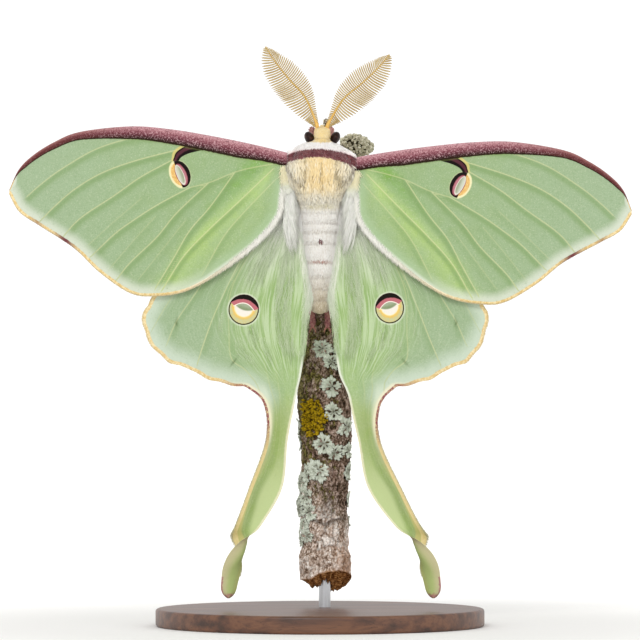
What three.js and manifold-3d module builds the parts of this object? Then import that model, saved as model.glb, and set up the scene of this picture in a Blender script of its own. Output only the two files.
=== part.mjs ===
// A luna moth at rest with its wings open, head up on a short upright length of
// lichened twig, which a rod holds over a small round display base.
// Millimetres, +Z up. The moth's back faces -Y, and its left wings are at -X.
// The origin is the centre of the base's underside.

import * as THREE from 'three';
import { mergeVertices } from 'three/addons/utils/BufferGeometryUtils.js';
import Module from 'manifold-3d';

const wasm = await Module();
wasm.setup();

// ---------------------------------------------------------------- driving dimensions

const GAP = 0.3; // clearance between neighbouring solids
const MEMBRANE = 0.5; // thickness of wing, tail and antenna plates

const BASE = { radius: 28, height: 3, bevel: 0.5 };
const ROD = { radius: 1, intoBase: 2, intoTwig: 4 };
const TWIG = { x: 0.8, y: 5, radius: 4, bottom: 5.6, slant: 3.5, slantTurn: 0.4, top: 80.8 };
const STUMP = { height: 12.5, flare: 0.4 }; // the twig is thicker below this height
const BODY_Y = -5; // the long axis of the body, in front of the twig

// Forewing, seen from above with the costal root at (0, 0): outward, forward.
const FOREWING = {
  leading: [[0, 0], [5.8, 1.4], [12.7, 2.8], [19.4, 3.9], [26.2, 4.4], [34.7, 3.5],
    [39.2, 1.5], [42.8, -0.5], [45.2, -2.9], [46.8, -6.3]],
  trailing: [[-0.1, -3.8], [0.4, -7.6], [1.1, -11], [4.7, -15.3], [11.5, -20.5],
    [17, -23.5], [22.2, -24.3], [26.3, -23.7], [31.4, -20.2], [35.7, -16.15],
    [41.6, -12.3], [45, -10], [46.8, -6.9]],
  // the costal rib: share of the span, width
  rib: [[0, 2.3], [0.2, 2.8], [0.35, 2.5], [0.55, 1.9], [0.7, 1.2], [0.9, 0.8]],
  ribThickness: 1,
  ribEnd: 0.9,
  tipCut: 0.995,
};

// Hindwing and tail as stations from root to tail tip: the outer and the inner
// edge, each as distance from the body's axis and height above the base.
const HINDWING = {
  stations: [
    [[5.8, 75], [5, 72.4]],
    [[14.4, 69.6], [3.8, 67]],
    [[24.4, 60.4], [2.9, 61.4]],
    [[29.9, 53.3], [2.2, 56.4]],
    [[28.2, 47.5], [2.25, 51.6]],
    [[23, 44.2], [2.6, 47]],
    [[15.6, 41.2], [3.2, 42.9]],
    [[10.9, 39.7], [3.8, 40.2]],
    [[9.1, 36.7], [4.5, 36.9]],
    [[9.2, 31.3], [5.5, 31.6]],
    [[11.9, 23.7], [6.4, 23.7]],
    [[14.3, 17.3], [9.95, 17.3]],
    [[16, 14.5], [12.3, 14.5]],
    [[16.5, 10.5], [13.1, 10.5]],
    [[16.8, 7.1], [14, 7.1]],
    [[16.9, 5], [14.1, 5]],
  ],
  tailStart: 0.5, // share of the stations where the tail takes over
  twist: [0.71, 0.915], // the half turn of the tail runs between these shares
  tip: 0.93, // and from here its end is rounded
  cup: [0.7, 1.1], // depth of the tail's trough, and what the twist adds to it
  bend: [0.38, 0.5], // a wing that hangs wider does so over these shares,
  hang: [0.55, 0.86], // and its tail over these
  behind: 1.2, // distance behind the forewing
};

const WING_DEPTH = { root: -2, sweep: 4.2, span: 52.5 };

// Each side's small differences in the resting pose: the forewing's droop in degrees and its
// length and breadth against the outline's, how much wider the hindwing bends and the tail
// hangs, how much narrower the hindwing's lobe is, and the antenna's turn outwards.
const SIDES = {
  left: { sign: -1, root: [5.95, 80.5], droop: 0, reach: 1, chord: 1, bend: 0, hang: 0, lobe: 0,
    antennaTurn: 0 },
  right: { sign: 1, root: [6.1, 79.6], droop: 3.4, reach: 1.01, chord: 0.965, bend: 0.8, hang: 2.9, lobe: 1.6,
    antennaTurn: 8 },
};

const HEAD = { x: 0.38, y: BODY_Y - 0.6, z: 83.1, radii: [2.3, 2.2, 1.5] };
const EYE = { spread: 2.28, y: BODY_Y - 0.5, z: 82.95, radii: [0.78, 1.25, 1.08], lean: 18 };
const ANTENNA = {
  spread: 0.9,
  z: 84.9,
  outer: [[0.3, 0], [2.65, 1.1], [5.85, 3.75], [8.6, 7.5], [9.5, 10.4], [9.25, 13], [8.85, 13.75]],
  inner: [[-0.35, 0], [0.15, 3.7], [0.6, 6.3], [1.95, 8.9], [4.1, 11.1], [6.6, 12.6], [8.2, 13.4]],
  lean: 1.6, // the tips come this far towards the moth's back
};

// Body rings from front to rear: height, half width, half depth, shift towards the twig.
const COLLAR = [[82.2, 2.4, 2.0, 0], [81.8, 3.6, 2.8, 0], [80.9, 5.1, 3.6, 0], [79.6, 5.5, 4, 0]];
const THORAX = [[79.3, 5.5, 4, 0], [77.2, 5.5, 4.3, 0], [74.5, 5.2, 4.3, 0], [72, 4.5, 3.9, 0],
  [70, 3.9, 3.5, 0.1]];
const ABDOMEN = [[69.7, 3.75, 3.4, 0.1], [67, 3.4, 3.2, 0.2], [64, 3, 3, 0.3], [60, 2.4, 2.7, 0.4],
  [57.2, 1.95, 2.3, 0.5], [55, 1.8, 1.9, 0.6], [53.6, 1.3, 1.3, 0.7], [52.9, 0.5, 0.5, 0.7]];
const TEGULA = { spread: 4.1, y: BODY_Y - 3.1, z: 76.9, radii: [1.25, 1.5, 2.7] };

// Legs as points from hip to foot: distance from the body's axis, distance behind
// that axis, height. Feet end just clear of the bark. By its foot a leg has come sideways
// by the drift, as the head and the twig stand a little to the right of the body.
const LEGS = {
  fore: { path: [[1.4, 4.9, 79.2], [1.7, 4.6, 82.2], [1.65, 4.8, 84.2], [1.7, 5.6, 84.6], [1.9, 6.8, 83.4],
    [2.1, 7.6, 82.2]], radii: [0.6, 0.5, 0.5, 0.45, 0.4, 0.35], drift: HEAD.x },
  mid: { path: [[3.4, 4.4, 76.6], [4.8, 5.3, 78], [5.1, 6.6, 77.2], [4.9, 8.6, 74.8], [4.75, 9.4, 72.4]],
    radii: [0.6, 0.5, 0.5, 0.4, 0.35], drift: TWIG.x },
  hind: { path: [[1.7, 4.95, 72.6], [2.2, 4.9, 66], [2.3, 4.8, 58], [1.4, 4.75, 54.4], [1.25, 4.75, 50.9]],
    radii: [0.5, 0.45, 0.5, 0.55, 0.45], drift: 0 },
};
const CLAW = { length: 1.1, spread: 0.5, radius: 0.25 };

// Lichen cushions on the bark: degrees round from the front, height, radius, rise.
const LICHENS = [[-4, 47.3, 1.9, 0.4], [16, 45.3, 1.5, 0.4], [20, 40.8, 1.8, 0.4], [18, 36.4, 1.8, 0.4],
  [55, 33.7, 1.8, 0.5], [0, 30.6, 2.2, 0.4], [70, 28.2, 2, 0.5], [-20, 26, 2.5, 0.5], [-75, 33, 1.8, 0.5],
  [-72, 24.5, 2, 0.7], [-75, 20.5, 2, 0.6], [-50, 16.4, 2.2, 0.5], [150, 55, 2.6, 0.6],
  [200, 38, 2.8, 0.6], [130, 17, 2.4, 0.5], [-140, 66, 2.6, 0.6], [-88, 40, 5, 0.6], [88, 36.5, 6.5, 0.7]];
const LICHEN_PAD = { at: [6.3, 5.2, 82], radii: [3, 1.4, 1.9], lean: 12 };
const SPROUT = { path: [[1, 3.4, 79.6], [1.1, 2.6, 83], [1, 2.4, 86.5]], radii: [0.7, 0.5, 0.45] };

// ---------------------------------------------------------------- finishes

const finish = (color, roughness, metalness = 0) =>
  new THREE.MeshStandardMaterial({ color, roughness, metalness });

const GREEN_SCALES = finish(0xa9c795, 0.8);
const MAROON_SCALES = finish(0x7d3f50, 0.75);
const CREAM_FUR = finish(0xf3dca6, 0.95);
const WHITE_FUR = finish(0xe9e2d6, 0.95);
const EYE_LENS = finish(0x2a1a18, 0.2);
const ANTENNA_TAN = finish(0xc9a765, 0.8);
const LEG_ROSE = finish(0x9a4c56, 0.8);
const BARK = finish(0x6f6152, 0.95);
const LICHEN_GREY = finish(0xa9b09c, 0.95);
const WALNUT = finish(0x4a3222, 0.45);
const STEEL = finish(0x8b8d90, 0.35, 0.9);

const moth = new THREE.Group();

function addPart(name, geometry, material) {
  const mesh = new THREE.Mesh(geometry, material);
  mesh.name = name;
  moth.add(mesh);
  return mesh;
}

// ---------------------------------------------------------------- solids

/** A closed geometry from positions and triangles, its faces turned outwards. */
function solid(positions, triangles) {
  let geometry = new THREE.BufferGeometry();
  geometry.setAttribute('position', new THREE.Float32BufferAttribute(positions, 3));
  geometry.setIndex(triangles);
  geometry = mergeVertices(geometry, 1e-4);
  const corner = (k) => new THREE.Vector3().fromBufferAttribute(geometry.attributes.position, k);
  const index = [...geometry.index.array];
  let volume = 0;
  for (let k = 0; k < index.length; k += 3) {
    volume += corner(index[k]).dot(corner(index[k + 1]).cross(corner(index[k + 2])));
  }
  if (volume < 0) index.reverse();
  geometry.setIndex(index);
  return geometry;
}

/** Triangles of a grid of rows by cols points, whose first point has the index start. */
function gridTriangles(rows, cols, start, flipped) {
  const triangles = [];
  for (let i = 0; i < rows - 1; i++) {
    for (let j = 0; j < cols - 1; j++) {
      const a = start + i * cols + j;
      const quad = [a, a + 1, a + cols + 1, a, a + cols + 1, a + cols];
      triangles.push(...(flipped ? quad.reverse() : quad));
    }
  }
  return triangles;
}

/** A plate of even thickness round the surface at(s, t) = { point, normal }, s and t from 0 to 1. */
function plate(at, thickness, stepsS, stepsT) {
  const rows = stepsS + 1;
  const cols = stepsT + 1;
  const positions = [];
  for (const side of [0.5, -0.5]) {
    for (let i = 0; i < rows; i++) {
      for (let j = 0; j < cols; j++) {
        const { point, normal } = at(i / stepsS, j / stepsT);
        positions.push(...point.clone().addScaledVector(normal, side * thickness));
      }
    }
  }
  const back = rows * cols;
  const rim = [];
  for (let j = 0; j < cols; j++) rim.push(j);
  for (let i = 1; i < rows; i++) rim.push(i * cols + cols - 1);
  for (let j = cols - 2; j >= 0; j--) rim.push((rows - 1) * cols + j);
  for (let i = rows - 2; i > 0; i--) rim.push(i * cols);
  const edge = rim.flatMap((a, k) => {
    const b = rim[(k + 1) % rim.length];
    return [a, a + back, b, b, a + back, b + back];
  });
  return solid(positions, [
    ...gridTriangles(rows, cols, 0, false),
    ...gridTriangles(rows, cols, back, true),
    ...edge,
  ]);
}

/** A closed skin over rings of points, each ring with as many points, with a fan at both ends. */
function skin(rings) {
  const sides = rings[0].length;
  const positions = rings.flat().flatMap((p) => [...p]);
  const triangles = [];
  for (let i = 0; i < rings.length - 1; i++) {
    for (let j = 0; j < sides; j++) {
      const a = i * sides + j;
      const b = i * sides + ((j + 1) % sides);
      triangles.push(a, b, b + sides, a, b + sides, a + sides);
    }
  }
  for (const [ring, turn] of [[0, 1], [rings.length - 1, 0]]) {
    const middle = positions.length / 3;
    const sum = rings[ring].reduce((total, p) => total.add(p), new THREE.Vector3());
    positions.push(...sum.divideScalar(sides));
    for (let j = 0; j < sides; j++) {
      const a = ring * sides + j;
      const b = ring * sides + ((j + 1) % sides);
      triangles.push(...(turn ? [middle, b, a] : [middle, a, b]));
    }
  }
  return solid(positions, triangles);
}

/** Body rings as a skin: oval rings stacked along the height, grown by a clearance. */
function bodySkin(rings, sides, grow = 0) {
  const last = rings.length - 1;
  return skin(rings.map(([z, halfWidth, halfDepth, back], k) => {
    const end = k === 0 ? grow : k === last ? -grow : 0;
    return Array.from({ length: sides }, (_, j) => {
      const angle = (2 * Math.PI * j) / sides;
      return new THREE.Vector3(
        (halfWidth + grow) * Math.cos(angle),
        BODY_Y + back + (halfDepth + grow) * Math.sin(angle),
        z + end,
      );
    });
  }));
}

/** A round limb through points with a radius at each, its ends closed. */
function limb(points, radii, sides) {
  let across = new THREE.Vector3(1, 0, 0);
  return skin(points.map((point, k) => {
    const before = points[Math.max(k - 1, 0)];
    const after = points[Math.min(k + 1, points.length - 1)];
    const along = after.clone().sub(before).normalize();
    across = across.clone().addScaledVector(along, -across.dot(along)).normalize();
    const up = along.clone().cross(across);
    return Array.from({ length: sides }, (_, j) => {
      const angle = (2 * Math.PI * j) / sides;
      return point.clone()
        .addScaledVector(across, radii[k] * Math.cos(angle))
        .addScaledVector(up, radii[k] * Math.sin(angle));
    });
  }));
}

/** An ellipsoid with the given radii at a centre, leaning about the Y axis by degrees. */
function ellipsoid(centre, radii, lean = 0, grow = 0, sides = 14) {
  const geometry = new THREE.SphereGeometry(1, sides, Math.round(sides * 0.6));
  geometry.deleteAttribute('normal');
  geometry.deleteAttribute('uv');
  geometry.scale(...radii.map((r) => r + grow));
  geometry.rotateY(THREE.MathUtils.degToRad(lean));
  geometry.translate(...centre);
  return mergeVertices(geometry, 1e-4);
}

function toManifold(geometry) {
  return new wasm.Manifold(new wasm.Mesh({
    numProp: 3,
    vertProperties: new Float32Array(geometry.attributes.position.array),
    triVerts: new Uint32Array(geometry.index.array),
  }));
}

function fromManifold(manifold) {
  const mesh = manifold.getMesh();
  const geometry = new THREE.BufferGeometry();
  geometry.setAttribute('position', new THREE.BufferAttribute(mesh.vertProperties, 3));
  geometry.setIndex(new THREE.BufferAttribute(mesh.triVerts, 1));
  return geometry;
}

/** The first geometry without the space of the others. */
function cut(geometry, ...cutters) {
  const left = cutters.reduce((rest, tool) => rest.subtract(toManifold(tool)), toManifold(geometry));
  return fromManifold(left);
}

/** Several overlapping geometries as one. */
function join(...geometries) {
  return fromManifold(geometries.map(toManifold).reduce((all, next) => all.add(next)));
}

const plainCurve = (points) =>
  new THREE.CatmullRomCurve3(points.map(([a, b]) => new THREE.Vector3(a, 0, b)), false, 'catmullrom', 0.5);

/** The value at x on straight lines between [x, value] pairs. */
function between(pairs, x) {
  const k = pairs.findIndex(([from], i) => i > 0 && x <= from);
  if (k < 0) return x <= pairs[0][0] ? pairs[0][1] : pairs[pairs.length - 1][1];
  const [[x0, v0], [x1, v1]] = [pairs[k - 1], pairs[k]];
  return v0 + ((v1 - v0) * (x - x0)) / (x1 - x0);
}

// ---------------------------------------------------------------- wings

/** How far back a wing lies at a distance from the body's axis: level at the root, swept at the tip. */
const wingDepth = (outward) => BODY_Y + WING_DEPTH.root + WING_DEPTH.sweep * (outward / WING_DEPTH.span) ** 2;

const leadingEdge = plainCurve(FOREWING.leading);
const trailingEdge = plainCurve(FOREWING.trailing);

/** A point of the forewing: share of the span, and distance or share across from the leading edge. */
function forewingPoint(side, span, across) {
  const from = leadingEdge.getPointAt(span);
  const to = trailingEdge.getPointAt(span);
  const flat = from.clone().lerp(to, across(from.distanceTo(to)));
  flat.set(flat.x * side.reach, 0, flat.z * side.chord);
  flat.applyAxisAngle(new THREE.Vector3(0, 1, 0), THREE.MathUtils.degToRad(side.droop));
  const outward = side.root[0] + flat.x;
  return new THREE.Vector3(side.sign * outward, wingDepth(outward), side.root[1] + flat.z);
}

const FLAT_NORMAL = new THREE.Vector3(0, 1, 0);

/** The maroon rib along the leading edge: from the edge inwards by the rib's width. */
function costaGeometry(side) {
  return plate((s, t) => {
    const span = s * FOREWING.ribEnd;
    const width = between(FOREWING.rib, span);
    return { point: forewingPoint(side, span, (chord) => (t * width) / chord), normal: FLAT_NORMAL };
  }, FOREWING.ribThickness, 18, 2);
}

/** The green membrane: from just inside the rib to the trailing edge, and the whole wing tip. */
function forewingGeometry(side) {
  return plate((s, t) => {
    const span = Math.min(s, FOREWING.tipCut);
    const clear = s <= FOREWING.ribEnd + 1e-6 ? between(FOREWING.rib, span) + GAP : 0;
    return { point: forewingPoint(side, span, (chord) => {
      const start = Math.min(clear / chord, 0.8);
      return start + (1 - start) * t;
    }), normal: FLAT_NORMAL };
  }, MEMBRANE, 20, 8);
}

const outerEdge = plainCurve(HINDWING.stations.map(([outer]) => outer));
const innerEdge = plainCurve(HINDWING.stations.map(([, inner]) => inner));

/** A point of the hindwing or tail: share of the stations, share across from the outer edge. */
function hindwingPoint(side, along, across) {
  const outer = outerEdge.getPoint(along);
  const inner = innerEdge.getPoint(along);
  const nearTip = Math.max(0, (along - HINDWING.tip) / (1 - HINDWING.tip));
  const rounding = Math.sqrt(Math.max(0.06, 1 - nearTip ** 2));
  const middle = outer.clone().add(inner).multiplyScalar(0.5);
  const half = outer.clone().sub(inner).multiplyScalar(0.5 * rounding);
  const tail = THREE.MathUtils.clamp((along - HINDWING.tailStart) / (1 - HINDWING.tailStart), 0, 1);
  const turn = Math.PI * THREE.MathUtils.smoothstep(along, ...HINDWING.twist);
  const place = 1 - 2 * across;
  const [flatCup, twistCup] = HINDWING.cup;
  const cup = (flatCup + twistCup * Math.sin(turn)) * Math.min(1, tail * 4) * (1 - place * place);
  const wider = side.bend * THREE.MathUtils.smoothstep(along, ...HINDWING.bend)
    + side.hang * THREE.MathUtils.smoothstep(along, ...HINDWING.hang)
    - side.lobe * (1 - across) * Math.exp(-(((along - 0.22) / 0.1) ** 2));
  const outward = middle.x + place * half.x * Math.cos(turn) - cup * Math.sin(turn) + wider;
  const depth = wingDepth(middle.x + place * half.x) + HINDWING.behind
    + place * half.x * Math.sin(turn) + cup * Math.cos(turn) + 1.5 * Math.sin(Math.PI * tail);
  return {
    point: new THREE.Vector3(side.sign * outward, depth, middle.z + place * half.z),
    normal: new THREE.Vector3(-side.sign * Math.sin(turn), Math.cos(turn), 0),
  };
}

const tailGap = 0.006; // share of the stations left open between hindwing and tail

function hindwingGeometry(side) {
  return plate((s, t) => hindwingPoint(side, s * (HINDWING.tailStart - tailGap), t), MEMBRANE, 20, 8);
}

function tailGeometry(side) {
  const start = HINDWING.tailStart + tailGap;
  return plate((s, t) => hindwingPoint(side, start + s * (1 - start), t), MEMBRANE, 20, 4);
}

for (const [name, side] of Object.entries(SIDES)) {
  addPart(`costa_${name}`, costaGeometry(side), MAROON_SCALES);
  addPart(`forewing_${name}`, forewingGeometry(side), GREEN_SCALES);
  addPart(`hindwing_${name}`, hindwingGeometry(side), GREEN_SCALES);
  addPart(`tail_${name}`, tailGeometry(side), GREEN_SCALES);
}

// ---------------------------------------------------------------- body

const tegula = (side, grow) =>
  ellipsoid([side.sign * TEGULA.spread, TEGULA.y, TEGULA.z], TEGULA.radii, side.sign * -6, grow, 12);
const eye = (side, grow) =>
  ellipsoid([HEAD.x + side.sign * EYE.spread, EYE.y, EYE.z], EYE.radii, side.sign * EYE.lean, grow, 12);
const bothSides = (make) => Object.values(SIDES).map((side) => make(side, GAP));

addPart('collar', bodySkin(COLLAR, 18), WHITE_FUR);
addPart('thorax', cut(bodySkin(THORAX, 18), ...bothSides(tegula)), CREAM_FUR);
addPart('abdomen', bodySkin(ABDOMEN, 16), WHITE_FUR);
addPart('head', cut(
  ellipsoid([HEAD.x, HEAD.y, HEAD.z], HEAD.radii),
  bodySkin(COLLAR, 18, GAP),
  ...bothSides(eye),
), CREAM_FUR);

for (const [name, side] of Object.entries(SIDES)) {
  addPart(`tegula_${name}`, tegula(side, 0), CREAM_FUR);
  addPart(`eye_${name}`, cut(eye(side, 0), bodySkin(COLLAR, 18, GAP)), EYE_LENS);
}

// ---------------------------------------------------------------- antennae

const antennaOuter = plainCurve(ANTENNA.outer);
const antennaInner = plainCurve(ANTENNA.inner);

/** The feathered antenna as one leaf, from its root on the head to its tip. */
function antennaGeometry(side) {
  return plate((s, t) => {
    const flat = antennaOuter.getPoint(s).lerp(antennaInner.getPoint(s), t);
    flat.applyAxisAngle(new THREE.Vector3(0, 1, 0), THREE.MathUtils.degToRad(side.antennaTurn));
    const outward = HEAD.x + side.sign * (ANTENNA.spread + flat.x);
    const point = new THREE.Vector3(outward, HEAD.y - ANTENNA.lean * s, ANTENNA.z + flat.z);
    return { point, normal: FLAT_NORMAL };
  }, MEMBRANE, 14, 4);
}

for (const [name, side] of Object.entries(SIDES)) {
  addPart(`antenna_${name}`, antennaGeometry(side), ANTENNA_TAN);
}

// ---------------------------------------------------------------- legs

/** A leg from hip to foot, ending in two claws that part on the bark. */
function legGeometry(leg, side) {
  const points = leg.path.map(([out, back, z], k) => {
    const drift = (leg.drift * k) / (leg.path.length - 1);
    return new THREE.Vector3(side.sign * out + drift, BODY_Y + back, z);
  });
  const foot = points[points.length - 1];
  const along = foot.clone().sub(points[points.length - 2]).normalize();
  const claws = [-1, 1].map((turn) => limb([
    foot.clone().addScaledVector(along, -CLAW.radius),
    foot.clone().addScaledVector(along, CLAW.length).add(new THREE.Vector3(turn * CLAW.spread, 0, 0)),
  ], [CLAW.radius, CLAW.radius * 0.5], 6));
  return join(limb(points, leg.radii, 8), ...claws);
}

for (const [pair, leg] of Object.entries(LEGS)) {
  for (const [name, side] of Object.entries(SIDES)) {
    addPart(`leg_${pair}_${name}`, legGeometry(leg, side), LEG_ROSE);
  }
}

// ---------------------------------------------------------------- perch

/** The twig's radius at an angle from the front and a height: gnarled, with lichen cushions. */
function barkRadius(angle, z) {
  const gnarl = 0.12 * Math.sin(3 * angle + 0.35 * z) + 0.08 * Math.sin(5 * angle - 0.8 * z);
  const cushions = LICHENS.reduce((sum, [degrees, height, radius, rise]) => {
    const round = THREE.MathUtils.euclideanModulo(
      THREE.MathUtils.radToDeg(angle) - degrees + 180, 360) - 180;
    const away = Math.hypot(THREE.MathUtils.degToRad(round) * TWIG.radius, z - height) / radius;
    return Math.max(sum, rise * Math.exp(-(away ** 4)));
  }, 0);
  const stump = STUMP.flare * (1 - THREE.MathUtils.smoothstep(z, STUMP.height - 0.8, STUMP.height + 0.8));
  return TWIG.radius + stump + gnarl + cushions;
}

/** The twig: broken off aslant at its foot, rounded over at its top. */
function twigGeometry() {
  const rings = 27;
  const sides = 18;
  return skin(Array.from({ length: rings + 1 }, (_, k) => {
    const share = k / rings;
    const shoulder = Math.sqrt(Math.max(0.1, 1 - Math.max(0, share * rings - (rings - 2)) ** 2 / 4.2));
    return Array.from({ length: sides }, (__, j) => {
      const angle = (2 * Math.PI * j) / sides;
      const foot = TWIG.bottom + (TWIG.slant * (1 + Math.cos(angle + TWIG.slantTurn))) / 2;
      const z = foot + (TWIG.top - foot) * share;
      const radius = barkRadius(angle, z) * shoulder;
      return new THREE.Vector3(TWIG.x + radius * Math.sin(angle), TWIG.y - radius * Math.cos(angle), z);
    });
  }));
}

/** A round bar about the rod's axis between two heights. */
function bar(radius, from, to) {
  const geometry = new THREE.CylinderGeometry(radius, radius, to - from, 24);
  geometry.deleteAttribute('normal');
  geometry.deleteAttribute('uv');
  geometry.rotateX(Math.PI / 2);
  geometry.translate(TWIG.x, TWIG.y, (from + to) / 2);
  return mergeVertices(geometry, 1e-4);
}

const rodFoot = BASE.height - ROD.intoBase;
const rodTop = TWIG.bottom + TWIG.slant / 2 + ROD.intoTwig;
const sprout = limb(SPROUT.path.map((p) => new THREE.Vector3(...p)), SPROUT.radii, 8);
const twig = cut(join(twigGeometry(), sprout), bar(ROD.radius + GAP, BASE.height, rodTop + GAP));
addPart('perch_twig', twig, BARK);
addPart('perch_lichen', cut(
  ellipsoid(LICHEN_PAD.at, LICHEN_PAD.radii, LICHEN_PAD.lean, 0, 14),
  ellipsoid([TWIG.x, TWIG.y, TWIG.top - 3.2], [TWIG.radius + 0.5, TWIG.radius + 0.5, 4]),
), LICHEN_GREY);

// ---------------------------------------------------------------- stand

/** The base: a turned disc with a small bevel round its top and bottom edges. */
function baseGeometry() {
  const { radius, height, bevel } = BASE;
  const profile = [[0, 0], [radius - bevel, 0], [radius, bevel], [radius, height - bevel],
    [radius - bevel, height], [0, height]].map(([r, z]) => new THREE.Vector2(r, z));
  const geometry = new THREE.LatheGeometry(profile, 48);
  geometry.rotateX(Math.PI / 2);
  return solid([...geometry.attributes.position.array], [...geometry.index.array]);
}

addPart('stand_rod', bar(ROD.radius, rodFoot + GAP, rodTop), STEEL);
addPart('stand_base', cut(baseGeometry(), bar(ROD.radius + GAP, rodFoot, BASE.height + 1)), WALNUT);

export default moth;
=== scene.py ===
import functools
import bpy
import numpy as np
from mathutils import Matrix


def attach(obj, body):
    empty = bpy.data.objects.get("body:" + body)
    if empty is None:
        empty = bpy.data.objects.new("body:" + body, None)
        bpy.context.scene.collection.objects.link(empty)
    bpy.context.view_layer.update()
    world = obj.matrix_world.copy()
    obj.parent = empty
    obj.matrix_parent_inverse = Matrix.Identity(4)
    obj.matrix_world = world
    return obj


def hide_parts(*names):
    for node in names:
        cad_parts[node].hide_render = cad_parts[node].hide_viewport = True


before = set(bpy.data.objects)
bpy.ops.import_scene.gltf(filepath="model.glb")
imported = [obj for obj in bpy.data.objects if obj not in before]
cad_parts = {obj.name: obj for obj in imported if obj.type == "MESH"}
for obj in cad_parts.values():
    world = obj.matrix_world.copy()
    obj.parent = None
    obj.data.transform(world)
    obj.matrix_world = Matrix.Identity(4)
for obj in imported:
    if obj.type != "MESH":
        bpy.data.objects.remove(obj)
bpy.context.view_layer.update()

# ---------------------------------------------------------------- studio
# A museum's photo table: a white floor under an even white sky, with one broad
# key light above the moth's head and a weaker one from the right.
# Sizes in this script are in millimetres. Only the studio's and build()'s output are in metres.

VIEW_DISTANCE = 1.0  # metres from the camera to the plane of the wings
VIEW_WIDTH = 0.1082  # metres of that plane in the picture
VIEW_HEIGHT = 0.0521
WING_PLANE = -0.007
SENSOR = 36.0
FLOOR_CORNER = 6000.0
FLOOR_NEAR, FLOOR_FAR = 40.0, 130.0  # the floor glows from here to there, so that its far part is white
# name, strength, softness in degrees, tilt from overhead and turn from the camera's side in degrees
LAMPS = [("key", 0.95, 20, 56, -14), ("side", 0.2, 40, 70, 55)]


def linear(code):
    """A colour written as six hexadecimal digits, as linear light."""
    parts = np.array([int(code[k : k + 2], 16) / 255 for k in (0, 2, 4)])
    low, high = parts / 12.92, ((parts + 0.055) / 1.055) ** 2.4
    return (*np.where(parts <= 0.04045, low, high).tolist(), 1.0)


class Wire:
    """A value or colour on its way through a material. Arithmetic on it adds Math nodes."""

    def __init__(self, paint, socket):
        self.paint = paint
        self.socket = socket

    def maths(self, operation, *values):
        return self.paint.add("ShaderNodeMath", {"operation": operation}, dict(enumerate(values)))

    def __add__(self, other):
        return self.maths("ADD", self, other)

    def __sub__(self, other):
        return self.maths("SUBTRACT", self, other)

    def __rsub__(self, other):
        return self.maths("SUBTRACT", other, self)

    def __mul__(self, other):
        return self.maths("MULTIPLY", self, other)

    def __truediv__(self, other):
        return self.maths("DIVIDE", self, other)

    def __pow__(self, other):
        return self.maths("POWER", self, other)

    def __abs__(self):
        return self.maths("ABSOLUTE", self)

    __radd__ = __add__
    __rmul__ = __mul__

    def stretch(self, factors):
        """A vector with each of its numbers multiplied by its own factor."""
        return self.paint.add("ShaderNodeVectorMath", {"operation": "MULTIPLY"}, {0: self, 1: factors})

    def rise(self, start, end):
        """0 below start, 1 above end, smooth between them; start may be the larger one."""
        settings = {"interpolation_type": "SMOOTHSTEP"}
        return self.paint.add("ShaderNodeMapRange", settings, {0: self, 1: start, 2: end})

    def mix(self, share, other):
        """This colour where share is 0 and the other one where it is 1."""
        return self.paint.mix(share, self, other)

    def layers(self, *tops):
        """This colour with others laid over it in turn, each a share that covers it and its colour."""
        return functools.reduce(lambda below, top: below.mix(*top), tops, self)

    def ramp(self, *stops):
        """A colour that runs through the stops, each a value of this number and the colour there."""
        return self.paint.add("ShaderNodeValToRGB", {"stops": stops}, {0: self})


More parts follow.
